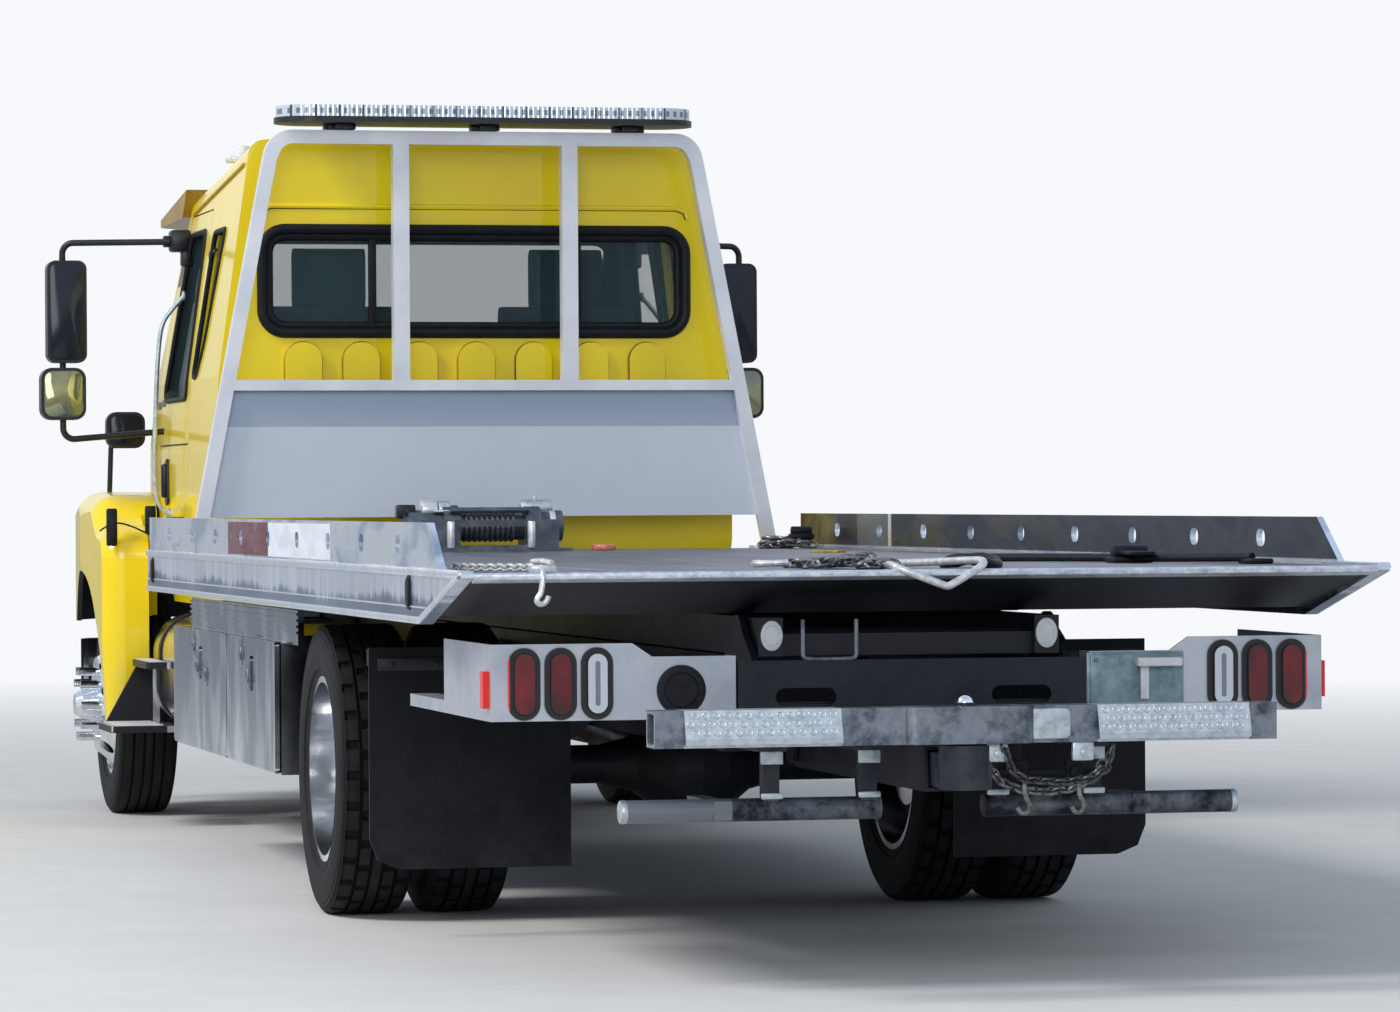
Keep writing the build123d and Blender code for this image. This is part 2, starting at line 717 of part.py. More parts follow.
def front_zone():
    with BuildPart(mode=Mode.PRIVATE) as zone:
        with BuildSketch(windshield_plane):
            half, half_height = cab_half - 170, windshield_length / 2 - 90
            Polygon((-half, half_height), (half, half_height), (half - 110, -half_height),
                    (-half + 110, -half_height))
            fillet(sketch_corners(), radius=60)
        extrude(amount=160, both=True)
    return zone.part


def rear_zone():
    with BuildPart(mode=Mode.PRIVATE) as zone:
        with BuildSketch(across(cab_back_y + 120)):
            with Locations((0, rear_window_z)):
                RectangleRounded(2 * rear_window_half, rear_window_height, 80)
        extrude(amount=200)
    return zone.part


rib_count = 7
rib_spacing = 226
rib_width = 142
rib_depth = 20
rib_top = 1920

with BuildPart() as cab_shell:
    add(cab_outer)
    add(cab_inner, mode=Mode.SUBTRACT)
    for s in (-1, 1):
        add(door_zone(s, door_gap), mode=Mode.SUBTRACT)
        add(side_zone(quarter_outline, s, 0, 36), mode=Mode.SUBTRACT)
    add(front_zone(), mode=Mode.SUBTRACT)
    add(rear_zone(), mode=Mode.SUBTRACT)
    with BuildSketch(across(cab_back_y)):
        with GridLocations(rib_spacing, 1, rib_count, 1):
            with Locations((0, rib_top - 200)):
                RectangleRounded(rib_width, 400, rib_width / 2 - 4)
    extrude(amount=rib_depth)
cab_shell.part.label = "cab_shell"
export_step(cab_shell.part, "parts/cab_shell.step")

with BuildPart(mode=Mode.PRIVATE) as panes:
    add(front_zone())
    add(rear_zone())
    for s in (-1, 1):
        add(side_zone(quarter_outline, s, 0, 36))

with BuildPart() as cab_glass:
    add(glass_outer)
    add(glass_inner, mode=Mode.SUBTRACT)
    add(panes.part, mode=Mode.INTERSECT)
cab_glass.part.label = "cab_glass"
export_step(cab_glass.part, "parts/cab_glass.step")

for side, s in SIDES:
    with BuildPart() as door:
        add(cab_outer)
        add(cab_inner, mode=Mode.SUBTRACT)
        add(door_zone(s, 0), mode=Mode.INTERSECT)
        add(side_zone(window_outline, s, 0, 60), mode=Mode.SUBTRACT)
    door.part.label = f"door_{side}"
    export_step(door.part, f"parts/door_{side}.step")

    with BuildPart() as door_glass:
        add(glass_outer)
        add(glass_inner, mode=Mode.SUBTRACT)
        add(side_zone(window_outline, s, 0, 60), mode=Mode.INTERSECT)
    door_glass.part.label = f"door_glass_{side}"
    export_step(door_glass.part, f"parts/door_glass_{side}.step")

    # Mirror arm: a tube from the door's frame round the two mirror heads and back to the door
    arm_radius = 13
    arm_x = s * 1430
    arm_y = tail_y + 8100
    with BuildPart() as mirrors:
        with BuildLine() as route:
            FilletPolyline((s * 900, door_hinge_y - 275, 2373), (arm_x, arm_y, 2373),
                           (arm_x, arm_y, 1564), (s * 990, door_hinge_y - 90, 1600), radius=45)
        with BuildSketch(Plane(origin=route.line @ 0, z_dir=route.line % 0)):
            Circle(arm_radius)
        sweep()
        with BuildSketch(across(arm_y + 45)):
            with Locations((s * 1416, 2090)):
                RectangleRounded(162, 420, 36)
            with Locations((s * 1432, 1753)):
                RectangleRounded(184, 214, 46)
        extrude(amount=90)
        add(cab_outer, mode=Mode.SUBTRACT)
    mirrors.part.label = f"mirrors_{side}"
    export_step(mirrors.part, f"parts/mirrors_{side}.step")

# Sun visor: a bent blade over the windshield, with marker lamps on the roof behind it
visor_front_y = windshield_head_y + 420
visor_half = cab_half - 30

with BuildPart() as sun_visor:
    with BuildSketch(beside(-visor_half)):
        Polygon((windshield_head_y + 2, windshield_head_z + 6), (windshield_head_y - 60, windshield_head_z + 118),
                (windshield_head_y + 60, windshield_head_z + 86), (visor_front_y, windshield_head_z - 14),
                (visor_front_y - 4, windshield_head_z - 28), (windshield_head_y + 70, windshield_head_z + 2))
    extrude(amount=2 * visor_half)
    with BuildSketch(level(windshield_head_z - 100)):
        Polygon((-visor_half, visor_front_y - 90), (-visor_half + 150, visor_front_y),
                (visor_half - 150, visor_front_y), (visor_half, visor_front_y - 90),
                (visor_half - 60, windshield_head_y - 90), (-visor_half + 60, windshield_head_y - 90))
    extrude(amount=300, mode=Mode.INTERSECT)
    add(cab_outer, mode=Mode.SUBTRACT)
sun_visor.part.label = "sun_visor"
export_step(sun_visor.part, "parts/sun_visor.step")

# Inside of the cab: dashboard, two seats, steering wheel on its column
dash_back_y = tail_y + 8010
dash_top = 1545
seat_x = 480
seat_half = 260
cushion_front_y = tail_y + 7740
cushion_back_y = tail_y + 7240
floor_top = cab_floor + cab_wall

with BuildPart() as dashboard:
    with BuildSketch(beside(-cab_half + cab_wall + 60)):
        Polygon((cowl_y - cab_wall - 2, 1240), (dash_back_y + 90, 1240), (dash_back_y, 1330),
                (dash_back_y + 40, dash_top), (cowl_y - cab_wall - 40, dash_top), (cowl_y - cab_wall - 2, 1500))
        fillet(sketch_corners(), radius=24)
    extrude(amount=2 * (cab_half - cab_wall - 60))
    with BuildSketch(Plane(origin=(-seat_x, dash_back_y - 120, 1640), x_dir=(1, 0, 0),
                           z_dir=(0, -cos(radians(50)), sin(radians(50)))).offset(-146)):
        Circle(34)
    extrude(amount=-120)
dashboard.part.label = "dashboard"
export_step(dashboard.part, "parts/dashboard.step")

with BuildPart() as seats:
    for s in (-1, 1):
        with BuildSketch(beside(s * seat_x - seat_half)):
            Polygon((cushion_back_y, 1290), (cushion_front_y, 1320), (cushion_front_y, 1430),
                    (cushion_back_y + 140, 1420), (cushion_back_y - 20, 2080), (cushion_back_y - 150, 2080),
                    (cushion_back_y - 40, 1320))
            fillet(sketch_corners(), radius=28)
        extrude(amount=2 * seat_half)
        with BuildSketch(level(floor_top)):
            with Locations((s * seat_x, (cushion_front_y + cushion_back_y) / 2)):
                Rectangle(360, 400)
        extrude(amount=1300 - floor_top)
        with BuildSketch(beside(s * seat_x - 140)):
            with Locations((cushion_back_y - 90, 2190)):
                RectangleRounded(110, 240, 40)
        extrude(amount=280)
seats.part.label = "seats"
export_step(seats.part, "parts/seats.step")

steering_tilt = radians(50)
steering_centre = (-seat_x, dash_back_y - 120, 1640)
steering_plane = Plane(origin=steering_centre, x_dir=(1, 0, 0),
                       z_dir=(0, -cos(steering_tilt), sin(steering_tilt)))
steering_radius = 225

with BuildPart() as steering_wheel:
    with BuildSketch(Plane(origin=steering_centre, x_dir=steering_plane.x_dir, z_dir=steering_plane.y_dir)):
        with Locations((steering_radius, 0)):
            Circle(15)
    revolve(axis=Axis(steering_centre, steering_plane.z_dir))
    with BuildSketch(steering_plane.offset(-14)):
        Circle(70)
        with PolarLocations(steering_radius / 2, 3, start_angle=90):
            Rectangle(steering_radius - 10, 40)
    extrude(amount=24)
    with BuildSketch(steering_plane):
        Circle(24)
    extrude(amount=-140)
steering_wheel.part.label = "steering_wheel"
export_step(steering_wheel.part, "parts/steering_wheel.step")

# Hood and fenders: one moulded shell that tilts forward about a pin behind the bumper
hood_wall = 20
hood_rear_y = cowl_y + 15
nose_y = bumper_y - 70
nose_bottom = 800
fender_half = 1305
fender_round = 110
fender_rear_y = tail_y + 7955
fender_bottom = 390
fender_inner = cab_half + 14
arch_radius = 560


def hood_middle(inset):
    """The part between the fenders: side outline, narrowed forward, crowned across."""
    with BuildPart(mode=Mode.PRIVATE) as form:
        with BuildSketch(beside(-cab_half)):
            Polygon((hood_rear_y - 4 * inset, 900 - 4 * inset), (hood_rear_y - 4 * inset, 1556 - inset),
                    (hood_rear_y + 500, 1500 - inset), (nose_y - 170, 1340 - inset),
                    (nose_y - inset, 1180 - inset / 2), (nose_y - inset, nose_bottom - 4 * inset))
            fillet(sketch_corners().filter_by_position(Axis.X, nose_y - 200, nose_y + 10)
                   .filter_by_position(Axis.Y, 1100, 1400), radius=110 - inset)
        extrude(amount=2 * cab_half)
        with BuildSketch(level(700)):
            Polygon((-1000 + inset, hood_rear_y - 100), (1000 - inset, hood_rear_y - 100),
                    (930 - inset, hood_rear_y + 500), (700 - inset, nose_y - 60),
                    (560, nose_y + 10), (-560, nose_y + 10), (-700 + inset, nose_y - 60),
                    (-930 + inset, hood_rear_y + 500))
        extrude(amount=1000, mode=Mode.INTERSECT)
        with BuildSketch(across(bumper_y)):
            half = ((1000 - inset, 600), (1000 - inset, 1380), (900 - inset, 1490 - inset),
                    (500, 1552 - inset), (0, 1570 - inset))
            Polygon(*half, *[(-x, z) for x, z in reversed(half[:-1])])
            fillet(sketch_corners().filter_by_position(Axis.Y, 1300, 1500), radius=90 - inset)
        extrude(amount=bumper_y - hood_rear_y + 200, mode=Mode.INTERSECT)
    return form.part


def fender_form(inset, s):
    """One fender's block, from the hood's side to its outer face, rounded along its top."""
    corner = fender_round + 22 - inset
    with BuildPart(mode=Mode.PRIVATE) as form:
        with BuildSketch(beside(0)):
            Polygon((fender_rear_y + inset, fender_bottom - 4 * inset), (fender_rear_y + inset, 1195 - inset),
                    (door_hinge_y - 40, 1215 - inset), (door_hinge_y + 80, 1335 - inset),
                    (front_axle_y + 120, 1350 - inset), (nose_y - 300, 1240 - inset),
                    (nose_y - 10 - inset, 1060), (nose_y - 10 - inset, nose_bottom - 4 * inset),
                    (front_axle_y, nose_bottom - 4 * inset), (front_axle_y, fender_bottom - 4 * inset))
            fillet(sketch_corners().filter_by_position(Axis.Y, 1000, 1400), radius=corner)
        extrude(amount=s * (fender_half - inset))
        side = form.faces().sort_by(Axis.X)[-1 if s > 0 else 0]
        fillet(side.edges().filter_by(lambda e: (e @ 0.5).Z > 1065), radius=fender_round - inset)
        with BuildSketch(level(200)):
            Polygon((s * (fender_inner + 66 + inset), fender_rear_y - 10),
                    (s * (fender_half - 20 - inset), fender_rear_y - 10),
                    (s * (fender_half - inset), front_axle_y), (s * (fender_half - 50 - inset), nose_y - 420),
                    (s * (1120 - inset), nose_y - 130), (s * 640, nose_y),
                    (s * (560 + inset), hood_rear_y + 4), (s * (fender_inner + inset), hood_rear_y),
                    (s * (fender_inner + inset), door_hinge_y + 10), (s * (fender_inner + 66 + inset), door_hinge_y))
            fillet(sketch_corners().filter_by_position(Axis.Y, front_axle_y - 5, nose_y - 100), radius=240)
        extrude(amount=1400, mode=Mode.INTERSECT)
        with BuildSketch(across(nose_y + 20)):
            Polygon((s * 400, 200), (s * (fender_half - 45 - inset), 200), (s * (fender_half - inset + 4), 1150),
                    (s * (fender_half - inset + 4), 1500), (s * 400, 1500))
        extrude(amount=nose_y - fender_rear_y + 60, mode=Mode.INTERSECT)
    return form.part


with BuildPart(mode=Mode.PRIVATE) as hood_block:
    add(hood_middle(0))
    for s in (-1, 1):
        add(fender_form(0, s))
hood_form = hood_block.part

with BuildPart() as hood:
    add(hood_form)
    add(hood_middle(hood_wall), mode=Mode.SUBTRACT)
    for s in (-1, 1):
        add(fender_form(hood_wall, s), mode=Mode.SUBTRACT)
    with BuildSketch(beside(-fender_half - 100)):
        with Locations((front_axle_y, hub_z)):
            Circle(arch_radius)
        with Locations((front_axle_y, hub_z - 300)):
            Rectangle(2 * arch_radius - 10, 600)
    extrude(amount=2 * fender_half + 200, mode=Mode.SUBTRACT)
    # grille opening and headlamp openings in the nose
    with BuildSketch(across(nose_y + 40)):
        with Locations((0, 1000)):
            Rectangle(840, 300)
        for s in (-1, 1):
            with Locations((s * 640, 1000)):
                Rectangle(260, 190)
    extrude(amount=130, mode=Mode.SUBTRACT)
    # hinge arms down to the pin
    for s in (-1, 1):
        with BuildSketch(beside(s * hood_arm_inner)):
            Polygon((hood_hinge_y - hood_hinge_radius, hood_hinge_z), (hood_hinge_y + hood_hinge_radius, hood_hinge_z),
                    (nose_y - 10, nose_bottom + 30), (nose_y - 10, nose_bottom + 120),
                    (nose_y - 70, nose_bottom + 120))
            with Locations((hood_hinge_y, hood_hinge_z)):
                Circle(hood_hinge_radius)
                Circle(hood_pin_radius + fit_gap, mode=Mode.SUBTRACT)
        extrude(amount=s * hood_arm_wall)
hood.part.label = "hood"
export_step(hood.part, "parts/hood.step")

# Hood mirrors: small heads on bent tubes from the fenders
hood_mirror_y = front_axle_y + 340
hood_mirror_z = 1615
hood_mirror_x = fender_half - 235

with BuildPart() as hood_mirrors:
    for s in (-1, 1):
        with BuildSketch(across(hood_mirror_y + 28)):
            with Locations((s * hood_mirror_x, hood_mirror_z)):
                RectangleRounded(165, 155, 44)
        extrude(amount=56)
        with BuildLine() as post:
            FilletPolyline((s * (hood_mirror_x + 60), hood_mirror_y + 90, 1260),
                           (s * (hood_mirror_x + 50), hood_mirror_y + 90, hood_mirror_z - 60),
                           (s * hood_mirror_x, hood_mirror_y, hood_mirror_z), radius=40)
        with BuildSketch(Plane(origin=post.line @ 0, z_dir=post.line % 0)):
            Circle(11)
        sweep()
    add(hood_form, mode=Mode.SUBTRACT)
hood_mirrors.part.label = "hood_mirrors"
export_step(hood_mirrors.part, "parts/hood_mirrors.step")

# Grille: a frame with level bars, set in the nose's opening; headlamps beside it
grille_bars = 5

with BuildPart() as grille:
    with BuildSketch(across(nose_y - 2)):
        with Locations((0, 1000)):
            Rectangle(840, 300)
            Rectangle(780, 240, mode=Mode.SUBTRACT)
        with Locations((0, 1000)):
            with GridLocations(1, 48, 1, grille_bars):
                Rectangle(780, 20)
        with Locations((0, 1000)):
            Rectangle(24, 240)
    extrude(amount=hood_wall - 4)
grille.part.label = "grille"
export_step(grille.part, "parts/grille.step")

with BuildPart() as headlamps:
    for s in (-1, 1):
        with BuildSketch(across(nose_y - 30)):
            with Locations((s * 640, 1000)):
                RectangleRounded(260, 190, 40)
        extrude(amount=60)
headlamps.part.label = "headlamps"
export_step(headlamps.part, "parts/headlamps.step")

# Fuel tank on the left with straps and steps; battery box on the right with steps
tank_front_y = tail_y + 7900
tank_rear_y = tail_y + 6640
tank_outer = 1090
tank_inner = rail_half + 8
tank_bottom = 400
tank_top = 850
step_rows = (  # bottom of the plate, how far it stands out past the tank
    (386, 230),
    (640, 90),
)
step_length = 460
step_wall = 26
strap_stations = (200, 1060)

for name, s, corner in (("fuel_tank", -1, 150), ("battery_box", 1, 24)):
    with BuildPart() as tank:
        with BuildSketch(across(tank_front_y)):
            with Locations((s * (tank_outer + tank_inner) / 2, (tank_top + tank_bottom) / 2)):
                RectangleRounded(tank_outer - tank_inner, tank_top - tank_bottom, corner)
        extrude(amount=tank_front_y - tank_rear_y)
        for station in strap_stations:
            with BuildSketch(across(tank_front_y - station)):
                with Locations((s * (tank_outer + tank_inner) / 2, (tank_top + tank_bottom) / 2)):
                    RectangleRounded(tank_outer - tank_inner + 12, tank_top - tank_bottom + 12, corner + 6)
                with Locations((s * (rail_half + 6), (tank_top + tank_bottom) / 2)):
                    Rectangle(12, tank_top - tank_bottom)
            extrude(amount=60)
        for bottom, reach in step_rows:
            with BuildSketch(level(bottom)):
                with Locations((s * (tank_outer + reach / 2 - 20), tank_front_y - 20 - step_length / 2)):
                    RectangleRounded(reach + 40, step_length, 18)
            extrude(amount=step_wall)
        with BuildSketch(across(tank_front_y - 20)):
            Polygon(*[(s * x, z) for x, z in ((tank_outer - 20, 386), (tank_outer + 200, 386),
                    (tank_outer + 200, 412), (tank_outer + 60, 666), (tank_outer - 20, 666))])
        extrude(amount=16)
    tank.part.label = name
    export_step(tank.part, f"parts/{name}.step")

# Exhaust: muffler under the right rail and a tail pipe out behind the cab
with BuildPart() as exhaust:
    with BuildSketch(across(tail_y + 6350)):
        with Locations((250, 520)):
            Circle(120)
    extrude(amount=900)
    with BuildSketch(across(tail_y + 7900)):
        with Locations((250, 545)):
            Circle(45)
    extrude(amount=1620)
exhaust.part.label = "exhaust"
export_step(exhaust.part, "parts/exhaust.step")

# Toolboxes: polished sheet boxes under the bed, open at the side, each with two drop doors,
# and a ribbed skirt above them
box_rear_y = tail_y + 3720
box_front_y = tail_y + 6250
box_seam_y = tail_y + 4850
box_outer = 1205
box_inner = rail_half + 12
box_bottom = 400
box_top = 842
box_wall = 6
box_door_wall = 16
box_hinge_z = box_bottom + 12
skirt_bottom = 866
skirt_top = 952
skirt_ribs = 4

for side, s in SIDES:
    with BuildPart() as toolbox:
        with BuildSketch(across(box_front_y)):
            with Locations((s * (box_outer + box_inner) / 2, (box_top + box_bottom) / 2)):
                Rectangle(box_outer - box_inner, box_top - box_bottom)
        extrude(amount=box_front_y - box_rear_y)
        for rear, front in ((box_rear_y, box_seam_y), (box_seam_y, box_front_y)):
            with BuildSketch(across(front - box_wall)):
                with Locations((s * (box_outer + box_inner) / 2 + s * box_wall, (box_top + box_bottom) / 2)):
                    Rectangle(box_outer - box_inner, box_top - box_bottom - 2 * box_wall)
            extrude(amount=front - rear - 2 * box_wall, mode=Mode.SUBTRACT)
        with BuildSketch(across(tail_y + 5970)):
            with Locations((s * (box_outer - 20), (skirt_bottom + skirt_top) / 2)):
                Rectangle(20, skirt_top - skirt_bottom)
            with Locations((s * (box_outer - 8), (skirt_bottom + skirt_top) / 2)):
                with GridLocations(1, 20, 1, skirt_ribs):
                    Rectangle(8, 8)
            with Locations((s * (box_outer - 80), (skirt_bottom + box_top) / 2)):
                Rectangle(140, skirt_bottom - box_top + 8)
        extrude(amount=5970 - 3420)
        for station in (box_rear_y + 300, box_front_y - 300):
            with BuildSketch(across(station)):
                with Locations((s * (rail_half + 6), 720)):
                    Rectangle(12, 200)
            extrude(amount=80)
    toolbox.part.label = f"toolbox_{side}"
    export_step(toolbox.part, f"parts/toolbox_{side}.step")

    for place, rear, front in (("rear", box_rear_y, box_seam_y), ("front", box_seam_y, box_front_y)):
        with BuildPart() as box_door:
            with BuildSketch(beside(s * (box_outer + gap))):
                with Locations(((rear + front) / 2, (box_hinge_z + box_top) / 2)):
                    RectangleRounded(front - rear - 12, box_top - box_hinge_z - 2, 12)
            extrude(amount=s * box_door_wall)
            with BuildSketch(across(front - 20)):
                with Locations((s * (box_outer + gap + box_door_wall / 2), box_hinge_z)):
                    Circle(box_door_wall / 2)
            extrude(amount=front - rear - 40)
            with BuildSketch(beside(s * (box_outer + gap + box_door_wall))):
                with Locations(((rear + front) / 2, box_top - 120)):
                    RectangleRounded(90, 120, 16)
            extrude(amount=s * 5)
        box_door.part.label = f"toolbox_door_{place}_{side}"
        export_step(box_door.part, f"parts/toolbox_door_{place}_{side}.step")

# Mudflaps: rubber sheets behind the rear wheels on steel hangers from the rails
flap_y = tail_y + 1940
flap_inner = 600
flap_outer = 1215
flap_bottom = 205
flap_top = 870
flap_wall = 12

with BuildPart() as mudflaps:
    for s in (-1, 1):
        with BuildSketch(across(flap_y)):
            Polygon(*[(s * x, z) for x, z in ((flap_inner, flap_bottom), (flap_outer - 90, flap_bottom),
                    (flap_outer - 26, flap_bottom + 26), (flap_outer, flap_bottom + 90),
                    (flap_outer, flap_top), (flap_inner, flap_top))])
        extrude(amount=flap_wall)
        with BuildSketch(across(flap_y + 30)):
            with Locations((s * (rail_half + flap_outer) / 2, flap_top - 30)):
                Rectangle(flap_outer - rail_half, 50)
        extrude(amount=30)
mudflaps.part.label = "mudflaps"
export_step(mudflaps.part, "parts/mudflaps.step")

# Stored lift arms: two L arms on a rack below the tail frame
arm_bar_y = tail_y + 50
arm_bar_z = 477
arm_bar_radius = 31

with BuildPart() as lift_arms:
    with BuildSketch(beside(145)):
        with Locations((arm_bar_y, arm_bar_z)):
            Circle(arm_bar_radius)
    extrude(amount=715)
    for x in (180, 450):
        with BuildSketch(level(arm_bar_z)):
            with Locations((x, arm_bar_y)):
                Rectangle(44, 44)
        extrude(amount=655 - arm_bar_z)
        with BuildSketch(level(633)):
            with Locations((x, arm_bar_y + 115)):
                Rectangle(80, 300)
        extrude(amount=22)
    with BuildSketch(beside(560)):
        with Locations((arm_bar_y + 130, arm_bar_z)):
            Rectangle(320, 50)
    extrude(amount=50)
    mirror(about=Plane.YZ)
lift_arms.part.label = "lift_arms"
export_step(lift_arms.part, "parts/lift_arms.step")

# Tilt frame: two tubes on the rails, hinged at the tail, with the slide cylinder's barrel
tilt_rear_y = tail_y + 262
tilt_front_y = headboard_y - 200
tilt_cross_rows = (330, 2000, 3380, 4700, 6100)
slide_barrel_radius = 42
slide_barrel_z = 987
slide_rod_radius = 28
slide_stroke = 3600
slide_barrel_rear_y = tail_y + 2260
slide_barrel_front_y = slide_barrel_rear_y + slide_stroke + 180
clevis_y = tail_y + 3350
clevis_z = 820
eye_radius = 32

with BuildPart() as tilt_frame:
    with BuildSketch(across(tilt_front_y)):
        for s in (-1, 1):
            with Locations((s * (tilt_tube_outer - tilt_tube_width / 2), (tilt_bottom + tilt_top) / 2)):
                Rectangle(tilt_tube_width, tilt_top - tilt_bottom)
    extrude(amount=tilt_front_y - tilt_rear_y)
    for station in tilt_cross_rows:
        with BuildSketch(across(tail_y + station + 35)):
            with Locations((0, tilt_bottom + 30)):
                Rectangle(2 * (tilt_tube_outer - tilt_tube_width), 60)
        extrude(amount=70)
    with BuildSketch(beside(-tilt_tube_outer - gap - tail_side_wall)):
        with Locations((tilt_hinge_y, tilt_hinge_z)):
            Circle(tilt_pin_radius)
    extrude(amount=2 * (tilt_tube_outer + gap + tail_side_wall))
    with BuildSketch(across(slide_barrel_front_y)):
        with Locations((0, slide_barrel_z)):
            Circle(slide_barrel_radius)
    extrude(amount=slide_barrel_front_y - slide_barrel_rear_y)
    with BuildSketch(across(slide_barrel_front_y - 60)):
        with Locations((0, slide_barrel_z)):
            Circle(slide_rod_radius + fit_gap)
    extrude(amount=slide_barrel_front_y - slide_barrel_rear_y, mode=Mode.SUBTRACT)
    for middle in (-cylinder_x, cylinder_x):
        for x in (middle - eye_half - 1 - clevis_wall, middle + eye_half + 1):
            with BuildSketch(beside(x)):
                with Locations((clevis_y, clevis_z)):
                    Circle(eye_radius + 6)
                with Locations((clevis_y, (clevis_z + tilt_bottom + 10) / 2)):
                    Rectangle(2 * eye_radius + 12, tilt_bottom + 10 - clevis_z)
            extrude(amount=clevis_wall)
tilt_frame.part.label = "tilt_frame"
export_step(tilt_frame.part, "parts/tilt_frame.step")


def cylinder_pair(xs, foot, eye, barrel_radius, rod_radius, overlap):
    """Hydraulic cylinders from a foot pin to a rod eye: the barrels and the rods, seen along X."""
    length = hypot(eye[0] - foot[0], eye[1] - foot[1])
    along = ((eye[0] - foot[0]) / length, (eye[1] - foot[1]) / length)
    barrel_length = length - eye_radius - 50
    barrel_start = foot_radius + 8
    barrels, rods = [], []
    for x in xs:
        base = Plane(origin=(x, foot[0], foot[1]), x_dir=(1, 0, 0), z_dir=(0, *along))
        with BuildPart(mode=Mode.PRIVATE) as barrel:
            with BuildSketch(base):
                Circle(eye_half - 2)
            extrude(amount=barrel_start + 4)
            with BuildSketch(beside(x - eye_half)):
                with Locations(foot):
                    Circle(eye_radius - 4)
            extrude(amount=2 * eye_half)
            with BuildSketch(beside(x - eye_half)):
                with Locations(foot):
                    Circle(pin_radius + fit_gap)
            extrude(amount=2 * eye_half, mode=Mode.SUBTRACT)
            with BuildSketch(base.offset(barrel_start)):
                Circle(barrel_radius)
            extrude(amount=barrel_length - barrel_start)
            with BuildSketch(base.offset(barrel_length - overlap)):
                Circle(rod_radius + fit_gap)
            extrude(amount=overlap + 10, mode=Mode.SUBTRACT)
        with BuildPart(mode=Mode.PRIVATE) as rod:
            with BuildSketch(beside(x - eye_half)):
                with Locations(eye):
                    Circle(eye_radius)
            extrude(amount=2 * eye_half)
            with BuildSketch(base.offset(barrel_length - overlap + 30)):
                Circle(rod_radius)
            extrude(amount=length - barrel_length + overlap - 30)
        barrels.append(barrel.part)
        rods.append(rod.part)
    return barrels, rods


tilt_cylinders = cylinder_pair((-cylinder_x, cylinder_x), tilt_foot, (clevis_y, clevis_z), 50, 28, 500)
for name, pieces in (("tilt_barrels", tilt_cylinders[0]), ("tilt_rods", tilt_cylinders[1])):
    with BuildPart() as cylinders:
        for piece in pieces:
            add(piece)
    cylinders.part.label = name
    export_step(cylinders.part, f"parts/{name}.step")

# Bed: deck plate on crossmembers and two sills, side rails, tail wedge, and the slide rod
deck_front_y = tail_y + deck_length
cross_rows = tuple(range(650, deck_length - 60, 565))
rail_inner = deck_half - side_rail_width
sill_outer = 420
sill_width = 60
slide_lug_y = tail_y + 2215

with BuildPart() as deck:
    with BuildSketch(across(deck_front_y)):
        with Locations((0, deck_top - deck_plate / 2)):
            Rectangle(2 * rail_inner, deck_plate)
    extrude(amount=deck_length)
    for s in (-1, 1):
        with BuildSketch(beside(s * rail_inner)):
            Polygon((tail_y, deck_top - deck_plate), (tail_y, deck_top), (tail_y + 12, side_rail_top),
                    (deck_front_y + rail_reach, side_rail_top), (deck_front_y + rail_reach, side_rail_bottom),
                    (tail_y + tail_wedge, side_rail_bottom))
        extrude(amount=s * side_rail_width)
        with BuildSketch(across(deck_front_y)):
            with Locations((s * (sill_outer - sill_width / 2), (sill_bottom + deck_top - deck_plate) / 2)):
                Rectangle(sill_width, deck_top - deck_plate - sill_bottom)
        extrude(amount=deck_length - tail_wedge - 30)
    for station in cross_rows:
        with BuildSketch(across(tail_y + station + 25)):
            with Locations((0, deck_top - deck_plate - crossmember_height / 2)):
                Rectangle(2 * rail_inner, crossmember_height)
        extrude(amount=50)
    # sloped skin under the tail
    with BuildSketch(beside(-rail_inner)):
        Polygon((tail_y + 2, deck_top - deck_plate), (tail_y + tail_wedge, side_rail_bottom + 22),
                (tail_y + tail_wedge, side_rail_bottom + 32), (tail_y + 60, deck_top - deck_plate))
    extrude(amount=2 * rail_inner)
    with BuildSketch(across(slide_lug_y)):
        with Locations((0, (slide_barrel_z - 26 + deck_top - deck_plate) / 2)):
            Rectangle(90, deck_top - deck_plate - slide_barrel_z + 26)
    extrude(amount=60)
    with BuildSketch(across(slide_barrel_rear_y + slide_stroke + 80)):
        with Locations((0, slide_barrel_z)):
            Circle(slide_rod_radius)
    extrude(amount=slide_barrel_rear_y + slide_stroke + 80 - slide_lug_y + 30)
deck.part.label = "deck"
export_step(deck.part, "parts/deck.step")

# Side boards: low raised boards along the deck's edges with tie-down slots
board_rear_y = tail_y + 340
board_front_y = deck_front_y + 60
board_slant = 180
board_x = deck_half - board_wall - 6
slot_count = 9
slot_spacing = 610
slot_first_y = tail_y + 1000
slot_z = 1187
slot_length = 80
slot_height = 50

with BuildPart() as side_boards:
    with BuildSketch(beside(board_x)):
        Polygon((board_rear_y, side_rail_top), (board_rear_y + board_slant, board_top),
                (board_front_y, board_top), (board_front_y, side_rail_top))
        with Locations(*[(slot_first_y + i * slot_spacing, slot_z) for i in range(slot_count)]):
            SlotOverall(slot_length, slot_height, mode=Mode.SUBTRACT)
    extrude(amount=board_wall)
    mirror(about=Plane.YZ)
side_boards.part.label = "side_boards"
export_step(side_boards.part, "parts/side_boards.step")

